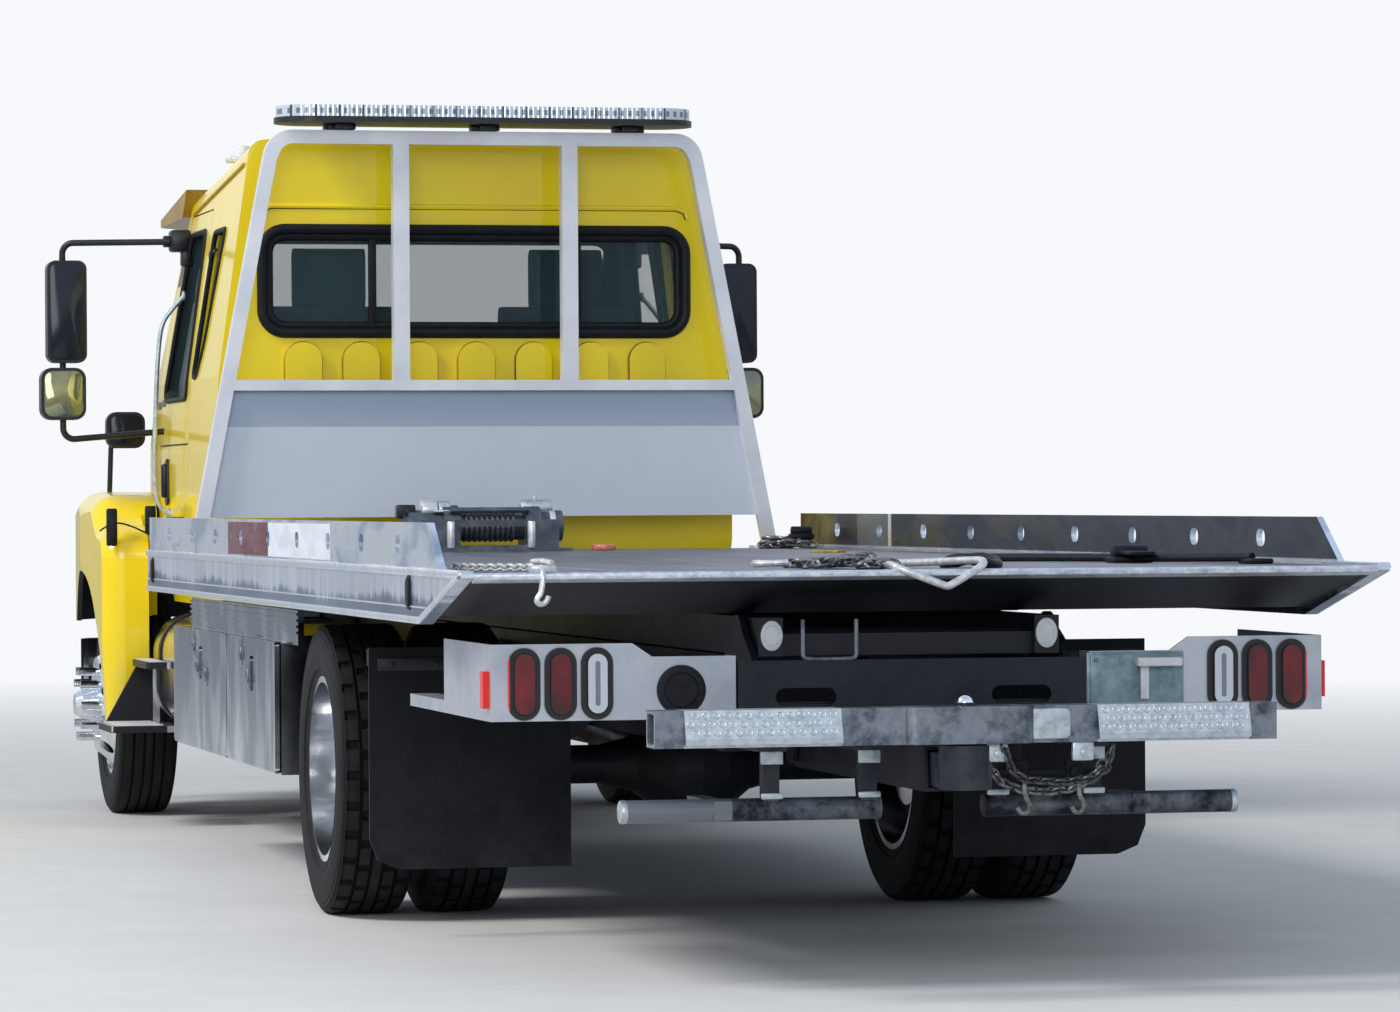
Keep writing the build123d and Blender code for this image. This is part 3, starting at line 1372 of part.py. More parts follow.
# Headboard: a tube frame with rounded shoulders, two window bars, a middle rail and a panel
leg_foot_half = 1150
shoulder_half = 862
shoulder_z = 2610
panel_rail_z = 1750
panel_foot_z = 1245
head_bar_x = 330


def headboard_outline(inset):
    foot, top = leg_foot_half - inset, headboard_top - inset
    shoulder = shoulder_half - inset
    Polygon((-foot, deck_top), (-shoulder, shoulder_z), (-shoulder + 26, top), (shoulder - 26, top),
            (shoulder, shoulder_z), (foot, deck_top))
    fillet(sketch_corners().filter_by_position(Axis.Y, shoulder_z - 200, headboard_top + 10),
           radius=110 - inset)


with BuildPart() as headboard:
    with BuildSketch(across(headboard_y)):
        headboard_outline(0)
        with BuildSketch(mode=Mode.PRIVATE) as hollow:
            headboard_outline(headboard_tube)
        add(hollow.sketch, mode=Mode.SUBTRACT)
        with Locations(*[(s * head_bar_x, (panel_rail_z + headboard_top) / 2) for s in (-1, 1)]):
            Rectangle(62, headboard_top - panel_rail_z)
        with Locations((0, panel_rail_z)):
            Rectangle(2 * 990, 40)
    extrude(amount=headboard_tube)
    with BuildSketch(across(headboard_y - 4)):
        Polygon((-1074, panel_foot_z), (1074, panel_foot_z), (975, panel_rail_z), (-975, panel_rail_z))
    extrude(amount=6)
    # foot plates on the deck
    with BuildSketch(level(deck_top)):
        with Locations(*[(s * (leg_foot_half - headboard_tube / 2), headboard_y - headboard_tube / 2) for s in (-1, 1)]):
            RectangleRounded(150, 104, 16)
    extrude(amount=10)
headboard.part.label = "headboard"
export_step(headboard.part, "parts/headboard.step")

# Light bar: a long clear-lensed lamp bar on two feet over the headboard's top tube
bar_half = 816
bar_bottom = headboard_top + 24
bar_top = bar_bottom + 66
bar_base = 22
bar_depth = 280
bar_y = headboard_y - headboard_tube / 2 + bar_depth / 2

with BuildPart() as light_bar:
    with BuildSketch(level(bar_bottom)):
        with Locations((0, bar_y - bar_depth / 2)):
            SlotOverall(2 * bar_half, bar_depth)
    extrude(amount=bar_base)
    with BuildSketch(level(bar_bottom + bar_base)):
        with Locations((0, bar_y - bar_depth / 2)):
            SlotOverall(2 * bar_half - 16, bar_depth - 16)
    extrude(amount=bar_top - bar_bottom - bar_base)
    for x in (-580, 580):
        with BuildSketch(level(headboard_top)):
            with Locations((x, headboard_y - headboard_tube / 2)):
                Rectangle(90, 48)
        extrude(amount=bar_bottom - headboard_top)
light_bar.part.label = "light_bar"
export_step(light_bar.part, "parts/light_bar.step")

# Winch at the deck's front: base, drum between two end housings, tie bars, roller fairlead
winch_y = deck_front_y - 480
winch_z = deck_top + 95

with BuildPart() as winch:
    with BuildSketch(level(deck_top)):
        with Locations((-110, winch_y)):
            Rectangle(640, 300)
    extrude(amount=12)
    for x0, length, radius in ((-410, 150, 62), (-262, 60, 80), (-202, 250, 52), (48, 60, 80), (108, 90, 58)):
        with BuildSketch(beside(x0)):
            with Locations((winch_y, winch_z)):
                Circle(radius)
            if radius == 80:
                with Locations((winch_y, (winch_z + deck_top) / 2)):
                    Rectangle(160, winch_z - deck_top)
        extrude(amount=length)
    for dy, dz in ((-70, 60), (70, 60)):
        with BuildSketch(beside(-240)):
            with Locations((winch_y + dy, winch_z + dz)):
                Circle(11)
        extrude(amount=300)
    with BuildSketch(across(winch_y - 170)):
        with Locations((-110, deck_top + 60)):
            Rectangle(520, 120)
            Rectangle(330, 70, mode=Mode.SUBTRACT)
    extrude(amount=30)
    with BuildSketch(level(deck_top)):
        with Locations((-110, winch_y - 150)):
            Rectangle(520, 110)
    extrude(amount=12)
winch.part.label = "winch"
export_step(winch.part, "parts/winch.step")

# Bridle: a bent V rod with its hook, lying on the deck over the tail edge
bridle_radius = 11
with BuildPart() as bridle:
    with BuildLine() as v_rod:
        FilletPolyline((0, tail_y + 900, deck_top + bridle_radius), (60, tail_y + 420, deck_top + bridle_radius),
                       (170, tail_y + 60, deck_top + bridle_radius + 14),
                       (230, tail_y + 260, deck_top + bridle_radius + 1),
                       (330, tail_y + 700, deck_top + bridle_radius), radius=30)
    with BuildSketch(Plane(origin=v_rod.line @ 0, z_dir=v_rod.line % 0)):
        Circle(bridle_radius)
    sweep()
bridle.part.label = "bridle"
export_step(bridle.part, "parts/bridle.step")

# Wheel lift: boom tube on its pin, sliding stinger with the pivot post and ball, crossbar
boom_rear_y = tail_y - 100
stinger_half = boom_half - boom_wall - gap
stinger_front_y = tail_y + 1180
post_radius = 30
ball_radius = 25
ball_z = 790

with BuildPart() as boom:
    with BuildSketch(across(boom_pivot_y)):
        with Locations((0, boom_pivot_z)):
            Rectangle(2 * boom_half, 2 * boom_half)
    extrude(amount=boom_pivot_y - boom_rear_y)
    with BuildSketch(beside(-boom_half)):
        with Locations((boom_pivot_y, boom_pivot_z)):
            Circle(boom_half)
    extrude(amount=2 * boom_half)
    with BuildSketch(across(stinger_front_y + 20)):
        with Locations((0, boom_pivot_z)):
            Rectangle(2 * (boom_half - boom_wall), 2 * (boom_half - boom_wall))
    extrude(amount=stinger_front_y + 20 - boom_rear_y, mode=Mode.SUBTRACT)
    with BuildSketch(beside(-boom_half - gap - hanger_wall)):
        with Locations((boom_pivot_y, boom_pivot_z)):
            Circle(boom_pin_radius)
    extrude(amount=2 * (boom_half + gap + hanger_wall))
    # lugs for the lift cylinder's rod
    for x in (eye_half + 1, -eye_half - 1 - clevis_wall):
        with BuildSketch(beside(x)):
            Polygon((tail_y + 376, boom_pivot_z + boom_half - 2), (tail_y + 544, boom_pivot_z + boom_half - 2),
                    (tail_y + 486, 722), (tail_y + 414, 722))
        extrude(amount=clevis_wall)
boom.part.label = "boom"
export_step(boom.part, "parts/boom.step")

with BuildPart() as stinger:
    with BuildSketch(across(stinger_front_y)):
        with Locations((0, boom_pivot_z)):
            Rectangle(2 * stinger_half, 2 * stinger_half)
    extrude(amount=stinger_front_y - crossbar_y)
    with BuildSketch(level(boom_pivot_z - stinger_half)):
        with Locations((0, crossbar_y)):
            Circle(70)
    extrude(amount=crossbar_bottom - gap - boom_pivot_z + stinger_half)
    with BuildSketch(level(boom_pivot_z)):
        with Locations((0, crossbar_y)):
            Circle(post_radius)
    extrude(amount=crossbar_bottom + crossbar_size + 8 - boom_pivot_z)
    with BuildSketch(Plane(origin=(0, crossbar_y, ball_z - ball_radius), x_dir=(1, 0, 0), z_dir=(0, -1, 0))):
        with BuildLine():
            arc = ThreePointArc((0, ball_radius), (ball_radius, 0), (0, -ball_radius))
            Line(arc @ 1, arc @ 0)
        make_face()
    revolve(axis=Axis((0, crossbar_y, 0), (0, 0, 1)))
stinger.part.label = "stinger"
export_step(stinger.part, "parts/stinger.step")

tread_inner = 350
tread_outer = 772
with BuildPart() as crossbar:
    with BuildSketch(beside(-crossbar_half_length)):
        with Locations((crossbar_y, crossbar_bottom + crossbar_size / 2)):
            Rectangle(crossbar_size, crossbar_size)
    extrude(amount=2 * crossbar_half_length)
    for s in (-1, 1):
        with BuildSketch(beside(s * 400)):
            with Locations((crossbar_y, crossbar_bottom + crossbar_size / 2)):
                Rectangle(crossbar_size - 20, crossbar_size - 20)
        extrude(amount=s * crossbar_half_length, mode=Mode.SUBTRACT)
        with BuildSketch(beside(s * tread_inner)):
            Polygon((crossbar_y - crossbar_size / 2, crossbar_bottom + crossbar_size),
                    (crossbar_y - crossbar_size / 2 - 21, crossbar_bottom + 24),
                    (crossbar_y - crossbar_size / 2 - 21, crossbar_bottom + 8),
                    (crossbar_y - crossbar_size / 2, crossbar_bottom + 8))
        extrude(amount=s * (tread_outer - tread_inner))
    with BuildSketch(level(crossbar_bottom)):
        with Locations((0, crossbar_y)):
            RectangleRounded(354, 138, 30)
    extrude(amount=crossbar_size)
    with BuildSketch(level(crossbar_bottom - 10)):
        with Locations((0, crossbar_y)):
            Circle(post_radius + fit_gap)
    extrude(amount=crossbar_size + 20, mode=Mode.SUBTRACT)
crossbar.part.label = "crossbar"
export_step(crossbar.part, "parts/crossbar.step")

lift_eye = (tail_y + 450, 704)
lift_cylinder = cylinder_pair((0,), lift_foot, lift_eye, 34, 20, 200)
for name, pieces in (("lift_barrel", lift_cylinder[0]), ("lift_rod", lift_cylinder[1])):
    with BuildPart() as cylinder:
        add(pieces[0])
    cylinder.part.label = name
    export_step(cylinder.part, f"parts/{name}.step")
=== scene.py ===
from math import cos, pi, radians, sin

import bpy
from mathutils import Matrix, Vector


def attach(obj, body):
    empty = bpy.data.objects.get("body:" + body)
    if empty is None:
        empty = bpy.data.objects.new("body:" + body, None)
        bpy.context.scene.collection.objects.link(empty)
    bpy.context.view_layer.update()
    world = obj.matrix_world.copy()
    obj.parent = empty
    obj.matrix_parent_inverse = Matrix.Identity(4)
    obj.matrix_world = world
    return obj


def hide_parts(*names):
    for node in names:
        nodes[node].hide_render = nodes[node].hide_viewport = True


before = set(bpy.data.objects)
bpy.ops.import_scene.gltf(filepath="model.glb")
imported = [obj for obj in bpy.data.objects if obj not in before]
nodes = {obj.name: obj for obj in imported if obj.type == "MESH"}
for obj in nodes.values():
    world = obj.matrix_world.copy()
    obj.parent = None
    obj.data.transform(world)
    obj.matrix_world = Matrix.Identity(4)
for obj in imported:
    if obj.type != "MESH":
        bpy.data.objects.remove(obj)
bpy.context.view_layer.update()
flanks = (("left", -1), ("right", 1))

# Camera: a long lens held at chest height behind the truck and to its left, so that the
# rear end fills the right of the picture and the cab shows its left side.
yaw, pitch, roll = radians(13.2253), radians(-0.0969), radians(-0.3316)
ahead = Vector((sin(yaw) * cos(pitch), cos(yaw) * cos(pitch), sin(pitch)))
right = Vector((cos(yaw), -sin(yaw), 0))
above = right.cross(ahead)
rolled_right = right * cos(roll) + above * sin(roll)
rolled_above = above * cos(roll) - right * sin(roll)
camera_data = bpy.data.cameras.new("camera")
camera_data.sensor_width = 36
camera_data.lens = 136.95
camera_data.clip_end = 500
camera = bpy.data.objects.new("camera", camera_data)
camera.matrix_world = Matrix.Translation((-3.8909, -18.4766, 1.3149)) @ Matrix(
    (rolled_right, rolled_above, -ahead)).transposed().to_4x4()
bpy.context.scene.collection.objects.link(camera)
bpy.context.scene.camera = camera
bpy.context.scene.view_settings.view_transform = "Standard"


# Studio: a pale floor that fades into the pale surround, open sky light from the world and
# two large soft lamps, the main one high on the truck's left.
def two_sided(operation):
    return lambda value, other: add_node(value.tree, "Math", {"operation": operation}, {0: value, 1: other})


def swapped(operation):
    return lambda value, other: add_node(value.tree, "Math", {"operation": operation}, {0: other, 1: value})


def one_sided(operation):
    return lambda value: add_node(value.tree, "Math", {"operation": operation}, {0: value, 1: 0.0})


class Value:
    """An output socket that can be added, multiplied and compared like a number."""

    def __init__(self, tree, socket):
        self.tree = tree
        self.socket = socket

    __add__, __sub__, __mul__, __truediv__ = (two_sided(name) for name in ("ADD", "SUBTRACT", "MULTIPLY", "DIVIDE"))
    __radd__, __rsub__, __rmul__ = (swapped(name) for name in ("ADD", "SUBTRACT", "MULTIPLY"))
    __gt__, __lt__ = two_sided("GREATER_THAN"), two_sided("LESS_THAN")
    __abs__, root, sine, fraction = (one_sided(name) for name in ("ABSOLUTE", "SQRT", "SINE", "FRACT"))
    most, least, turn = (two_sided(name) for name in ("MAXIMUM", "MINIMUM", "ARCTAN2"))


def add_node(tree, kind, settings=None, inputs=None, output=0):
    """A shader node with its settings first, then its sockets' values or links."""
    node = tree.nodes.new("ShaderNode" + kind)
    for name, value in (settings or {}).items():
        setattr(node, name, value)
    for name, value in (inputs or {}).items():
        socket = node.inputs[name]
        if isinstance(value, Value):
            tree.links.new(value.socket, socket)
        elif isinstance(value, tuple) and socket.type == "RGBA":
            socket.default_value = (*value, 1)
        else:
            socket.default_value = value
    return Value(tree, node.outputs[output]) if node.outputs else None


surround = (0.93, 0.95, 0.97)
world = bpy.data.worlds.new("studio")
world.use_nodes = True
sky = world.node_tree
sky.nodes.clear()
direction = add_node(sky, "TexCoord", output="Generated")
height = add_node(sky, "SeparateXYZ", inputs={0: direction}, output="Z")
reflected = add_node(sky, "ValToRGB", inputs={0: height * 0.5 + 0.5})
bands = reflected.socket.node.color_ramp.elements
bands.new(0.5)
bands.new(0.5)
for band, (place, tint) in zip(bands, ((0.42, (0.10, 0.10, 0.11)), (0.5, (0.36, 0.38, 0.41)),
                                       (0.56, (0.86, 0.9, 0.96)), (1.0, (0.42, 0.56, 0.80)))):
    band.position = place
    band.color = (*tint, 1)
rays = add_node(sky, "LightPath", output="Is Camera Ray")
through = add_node(sky, "LightPath", output="Is Transmission Ray")
glossy = add_node(sky, "LightPath", output="Is Glossy Ray")
seen = rays.most(through)
colour = add_node(sky, "Mix", {"data_type": "RGBA"}, {0: glossy, 6: (0.74, 0.82, 0.92), 7: reflected}, output=2)
colour = add_node(sky, "Mix", {"data_type": "RGBA"}, {0: seen, 6: colour, 7: surround}, output=2)
background = add_node(sky, "Background", inputs={"Color": colour, "Strength": 0.55 + 0.45 * seen.most(glossy)})
add_node(sky, "OutputWorld", inputs={"Surface": background})
bpy.context.scene.world = world


def add_lamp(name, place, aim, size, power, tint):
    """A large square lamp at a place, turned to shine on a point."""
    data = bpy.data.lights.new(name, "AREA")
    data.shape = "SQUARE"
    data.size = size
    data.energy = power
    data.color = tint
    lamp = bpy.data.objects.new(name, data)
    lamp.location = place
    lamp.rotation_euler = (Vector(aim) - Vector(place)).to_track_quat("-Z", "Y").to_euler()
    bpy.context.scene.collection.objects.link(lamp)


add_lamp("key_lamp", (-14, -3, 14), (0, 0, 1), 5, 2300, (1.0, 0.97, 0.92))
add_lamp("rear_lamp", (-6, -20, 7), (0, -4, 1), 8, 900, (0.95, 0.98, 1.0))


class Finish:
    """A material built up as a node tree, with the truck's own coordinates at hand."""

    def __init__(self, name):
        self.material = bpy.data.materials.new(name)
        self.material.use_nodes = True
        self.tree = self.material.node_tree
        self.tree.nodes.clear()
        self.place = self.node("TexCoord", output="Object")
        self.x, self.y, self.z = (self.node("SeparateXYZ", inputs={0: self.place}, output=name) for name in "XYZ")

    def node(self, kind, settings=None, inputs=None, output=0):
        return add_node(self.tree, kind, settings, inputs, output)

    def stretch(self, x, y, z):
        return self.node("Mapping", inputs={"Vector": self.place, "Scale": (x, y, z)})

    def noise(self, scale, detail=4.0, roughness=0.6, vector=None, low=0.35, high=0.65):
        """Noise spread to 0..1 between two levels."""
        raw = self.node("TexNoise", inputs={"Vector": vector or self.place, "Scale": scale, "Detail": detail,
                                            "Roughness": roughness})
        return self.level(raw, low, high)

    def level(self, value, low, high):
        return self.node("MapRange", {"clamp": True}, {0: value, 1: low, 2: high, 3: 0.0, 4: 1.0})

    def between(self, value, low, high):
        return (value > low) * (value < high)

    def inner_side(self, centre):
        """One on faces that look towards a point inside a shell, zero on its outer faces."""
        facing = self.node("TexCoord", output="Normal")
        reach = self.node("VectorMath", {"operation": "SUBTRACT"}, {0: self.place, 1: centre})
        return self.node("VectorMath", {"operation": "DOT_PRODUCT"}, {0: reach, 1: facing}, output="Value") < 0.0

    def mix(self, amount, first, second):
        return self.node("Mix", {"data_type": "RGBA"}, {0: amount, 6: first, 7: second}, output=2)

    def over(self, colour, *layers):
        """A colour with other colours laid over it in turn, each by its own amount."""
        for amount, tint in layers:
            colour = self.mix(amount, colour, tint)
        return colour

    def surface(self, colour, rough, grain=None, **sockets):
        """The closing shader. The grain is (height, strength, distance); sockets have low lines for spaces."""
        if grain:
            sockets["Normal"] = self.node("Bump", inputs=dict(zip(("Height", "Strength", "Distance"), grain)))
        inputs = {name.replace("_", " "): value for name, value in sockets.items()}
        shader = self.node("BsdfPrincipled", inputs={"Base Color": colour, "Roughness": rough, **inputs})
        self.node("OutputMaterial", inputs={"Surface": shader})
        return self.material


ground = Finish("floor_pale")
speckle = ground.noise(3.0, 6.0, 0.7)
distance = (ground.x * ground.x + ground.y * ground.y * 0.6).root()
lit = ground.node("BsdfDiffuse", inputs={"Color": ground.mix(speckle, (0.70, 0.705, 0.71), (0.74, 0.745, 0.75))})
glow = ground.node("Emission", inputs={"Color": surround, "Strength": 1.0})
bare = ground.node("LightPath", output="Is Camera Ray") * ground.level(distance, 5.0, 16.0)
ground.node("OutputMaterial", inputs={"Surface": ground.node("MixShader", inputs={0: bare, 1: lit, 2: glow})})
bpy.ops.mesh.primitive_plane_add(size=1, location=(0, 0, 0))
floor = bpy.context.object
floor.name = "floor"
floor.data.transform(Matrix.Diagonal((200, 200, 1, 1)))
floor.data.materials.append(ground.material)


# Frame, axles and running gear: channel rails, crossmembers, springs and driveline under
# black chassis paint that has gone satin, with road dust lying on it low down.
def dress(material, *names):
    """CAD nodes take a material in place of their plain one; a name without its side means both."""
    for name in names:
        for node in (name, name + "_left", name + "_right"):
            if node in nodes:
                nodes[node].data.materials.clear()
                nodes[node].data.materials.append(material)


black = Finish("chassis_black")
road_dust = black.level(black.z * -1.0, -0.9, -0.1)
grime = black.noise(6.0, 8.0, 0.7) * (0.2 + 0.8 * road_dust)
scuffs = black.noise(60.0, 5.0, 0.8, low=0.64, high=0.76)
black_colour = black.over((0.007, 0.01, 0.018), (grime, (0.036, 0.036, 0.038)), (scuffs * 0.3, (0.12, 0.12, 0.13)))
chassis_black = black.surface(black_colour, 0.36 + 0.35 * grime, (black.noise(35.0, 4.0), 0.12, 0.002),
                              Specular_IOR_Level=0.32)
dress(chassis_black, "frame_rails", "tail_frame", "rear_axle", "front_axle", "driveline", "knuckle", "tilt_frame",
      "tilt_barrels", "boom", "lift_barrel")


# Tail of the frame: end caps on the tilt frame's tubes, a bent guard over the hinge, and a
# bracket in faded teal paint with the blank number plate and its lamp, bolted on at the right.
def two_tone(name, scale, first, second, rough, grain=None, rougher=0.0, detail=4.0, spread=0.6, stretch=(1, 1, 1),
             high=0.65, **sockets):
    """Two colours mingled by noise. The grain is (scale, strength, depth); scale None takes the same noise."""
    finish = Finish(name)
    vector = finish.stretch(*stretch) if stretch != (1, 1, 1) else None
    spots = finish.noise(scale, detail, spread, vector, high=high)
    if grain:
        grain = (finish.noise(grain[0]) if grain[0] else spots, *grain[1:])
    if rougher:
        rough = rough + rougher * spots
    return finish.surface(finish.mix(spots, first, second), rough, grain, **sockets)


def mode(name):
    bpy.ops.object.mode_set(mode=name)


def block(low, high, bevel=0.003, segments=2):
    """A cube set between two opposite corners, with its edges rounded."""
    size = [abs(b - a) for a, b in zip(low, high)]
    middle = [(a + b) / 2 for a, b in zip(low, high)]
    bpy.ops.mesh.primitive_cube_add(size=1, location=middle, scale=size)
    bpy.ops.object.transform_apply(location=True, rotation=True, scale=True)
    mode("EDIT")
    bpy.ops.mesh.select_all(action="SELECT")
    bpy.ops.mesh.bevel(offset=min(bevel, min(size) * 0.45), segments=segments, affect="EDGES")
    mode("OBJECT")
    return bpy.context.object


def round_edges(piece, width, angle=radians(30)):
    """The sharp edges of a piece are rounded."""
    edge = piece.modifiers.new("edge", "BEVEL")
    edge.width = width
    edge.segments = 2
    edge.limit_method = "ANGLE"
    edge.angle_limit = angle
    bpy.ops.object.modifier_apply(modifier="edge")
    return piece


def disc(middle, radius, depth, axis="Y", bevel=0.003, sides=32, dish=0.0, outward=-1):
    """A round plate about an axis, its rims rounded; a dish sinks the middle of its outer face."""
    turn = {"X": (0, radians(90), 0), "Y": (radians(90), 0, 0), "Z": (0, 0, 0)}[axis]
    bpy.ops.mesh.primitive_cylinder_add(vertices=sides, radius=radius, depth=depth, location=middle, rotation=turn)
    bpy.ops.object.transform_apply(location=True, rotation=True, scale=True)
    piece = round_edges(bpy.context.object, min(bevel, depth * 0.4), 1.0)
    if dish:
        mode("EDIT")
        bpy.ops.mesh.select_all(action="DESELECT")
        mode("OBJECT")
        index = "XYZ".index(axis)
        round_faces = [face for face in piece.data.polygons if len(face.vertices) > 4]
        max(round_faces, key=lambda face: face.normal[index] * outward * face.area).select = True
        mode("EDIT")
        bpy.ops.mesh.select_mode(type="FACE")
        bpy.ops.mesh.inset(thickness=radius * 0.22, depth=0.0)
        bpy.ops.mesh.inset(thickness=radius * 0.05, depth=-dish)
        bpy.ops.mesh.select_mode(type="VERT")
        mode("OBJECT")
    return piece


def select_all_of(pieces):
    """Only these pieces are selected, the first of them active."""
    bpy.ops.object.select_all(action="DESELECT")
    for piece in pieces:
        piece.select_set(True)
    bpy.context.view_layer.objects.active = pieces[0]


def rod(points, radius, closed=False, sides=3, steps=6, straight=False):
    """A bent round bar that follows its points in smooth bends, or straight from point to point."""
    data = bpy.data.curves.new("rod", "CURVE")
    data.dimensions = "3D"
    data.bevel_depth = radius
    data.bevel_resolution = sides
    data.resolution_u = steps
    data.use_fill_caps = not closed
    line = data.splines.new("POLY" if straight else "NURBS")
    line.points.add(len(points) - 1)
    for point, place in zip(line.points, points):
        point.co = (*place, 1)
    if not straight:
        line.order_u = 3
        line.use_endpoint_u = not closed
    line.use_cyclic_u = closed
    piece = bpy.data.objects.new("rod", data)
    bpy.context.scene.collection.objects.link(piece)
    select_all_of([piece])
    bpy.ops.object.convert(target="MESH")
    return bpy.context.object


def on_plane(axis, at, pairs):
    """Points on a plane square to an axis, from their other two coordinates."""
    return [{"X": (at, a, b), "Y": (a, at, b), "Z": (a, b, at)}[axis] for a, b in pairs]


def seat(pieces, name, body, material):
    """Join a piece's parts, name and smooth it, give it its finish and let it ride on its body."""
    parts = pieces if isinstance(pieces, list) else [pieces]
    select_all_of(parts)
    if len(parts) > 1:
        bpy.ops.object.join()
    piece = bpy.context.object
    piece.name = name
    bpy.ops.object.shade_smooth_by_angle(angle=radians(35))
    piece.data.materials.clear()
    piece.data.materials.append(material)
    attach(piece, body)
    return piece


galvanised = two_tone("galvanised_steel", 45.0, (0.4, 0.46, 0.5), (0.6, 0.65, 0.68), 0.32, (None, 0.08, 0.001),
                      rougher=0.2, detail=3.0, Metallic=0.7)
pale_cap = two_tone("pale_cap", 30.0, (0.55, 0.57, 0.6), (0.68, 0.7, 0.72), 0.45)
tube_x, tube_z, tail_face = 0.39, 0.936, -4.418
caps = [disc((s * tube_x, tail_face - 0.004, tube_z), 0.031, 0.01, dish=0.004) for s in (-1, 1)]
for cap in caps:
    cap.data.transform(Matrix.Translation((0, 0, tube_z)) @ Matrix.Diagonal((1, 1, 1.35, 1))
                       @ Matrix.Translation((0, 0, -tube_z)))
seat(caps, "tilt_tube_caps", "tilt_frame", pale_cap)
worn_guard = two_tone("guard_worn", 30.0, (0.1, 0.12, 0.15), (0.26, 0.28, 0.32), 0.45, Metallic=0.5)
guard = rod(on_plane("Y", -4.452, ((-0.31, 0.98), (-0.31, 0.9), (-0.31, 0.875), (-0.285, 0.872), (-0.185, 0.872),
                                   (-0.16, 0.875), (-0.16, 0.9), (-0.16, 0.98))), 0.006)
seat(guard, "hinge_guard", "chassis", worn_guard)
plate = block((0.5, -4.476, 0.722), (0.76, -4.47, 0.876), 0.002)
backing = block((0.49, -4.47, 0.716), (0.77, -4.462, 0.882))
bolts = [disc((x, -4.479, z), 0.007, 0.008, sides=6, bevel=0.001) for x in (0.515, 0.745) for z in (0.735, 0.862)]
faded_teal = two_tone("plate_bracket_paint", 14.0, (0.1, 0.17, 0.2), (0.26, 0.36, 0.4), 0.4, (None, 0.1, 0.001),
                      detail=6.0, spread=0.7, Metallic=0.4)
seat([plate, backing] + bolts, "number_plate_bracket", "chassis", faded_teal)
lamp_hood = block((0.625, -4.512, 0.842), (0.755, -4.47, 0.868), 0.006)
stem = block((0.64, -4.49, 0.752), (0.664, -4.476, 0.85))
seat([lamp_hood, stem], "number_plate_lamp", "chassis", pale_cap)


# Rear lamps: sealed oval lamps in black rubber grommets, red outside and clear for reversing
# inside, with a red marker wrapped round each panel's outer edge.
lens = Finish("oval_lamps")
lens_out = abs(lens.x)
drop = (abs(lens.z - 0.815) - 0.0535).most(0.0)
lens_rows, lens_half = (1.085, 0.985, 0.885), 0.0265
reach_of = [((lens_out - row) * (lens_out - row) + drop * drop).root() for row in lens_rows]
nearest = reach_of[0].least(reach_of[1]).least(reach_of[2])
in_lens = nearest < lens_half
clear_row = lens_out < 0.935
marker = lens_out > 1.125
prism = (lens.z * 520.0).sine() * (lens.x * 700.0).sine()
red = lens.mix(lens.noise(9.0, 2.0, 0.5), (0.06, 0.002, 0.006), (0.21, 0.005, 0.01))
reversing = lens.mix(nearest < 0.007, (0.62, 0.66, 0.72), (0.2, 0.23, 0.3))
lamp_colour = lens.over((0.008, 0.009, 0.012), (in_lens, lens.mix(clear_row, red, reversing)),
                        (marker, (0.85, 0.03, 0.02)))
oval_lamps = lens.surface(lamp_colour, 0.55 - 0.43 * in_lens.most(marker), (prism * in_lens, 0.25, 0.001),
                          Coat_Weight=0.5 * in_lens)
dress(oval_lamps, "rear_lamps")
rubber_blank = two_tone("rubber_blank", 40.0, (0.005, 0.006, 0.009), (0.012, 0.013, 0.018), 0.5, (120.0, 0.15, 0.001),
                        Specular_IOR_Level=0.2)
grommet = disc((-0.652, -4.461, 0.794), 0.068, 0.016, sides=48, bevel=0.005, dish=0.006)
seat(grommet, "panel_blank", "chassis", rubber_blank)


# Tyres and wheels: dusty radial tyres with a ribbed sidewall and grooves painted darker as shade,
# block tread on the rear ones, and forged aluminium discs polished to a mirror with their nuts and hub caps.
front_axle_y, rear_axle_y, axle_z = 3.93, -1.76, 0.46


def from_axle(finish):
    """How far along and above the nearest axle a point stands, and its distance from it."""
    along = abs(finish.y - front_axle_y).least(abs(finish.y - rear_axle_y))
    rise = finish.z - axle_z
    return along, rise, (along * along + rise * rise).root()


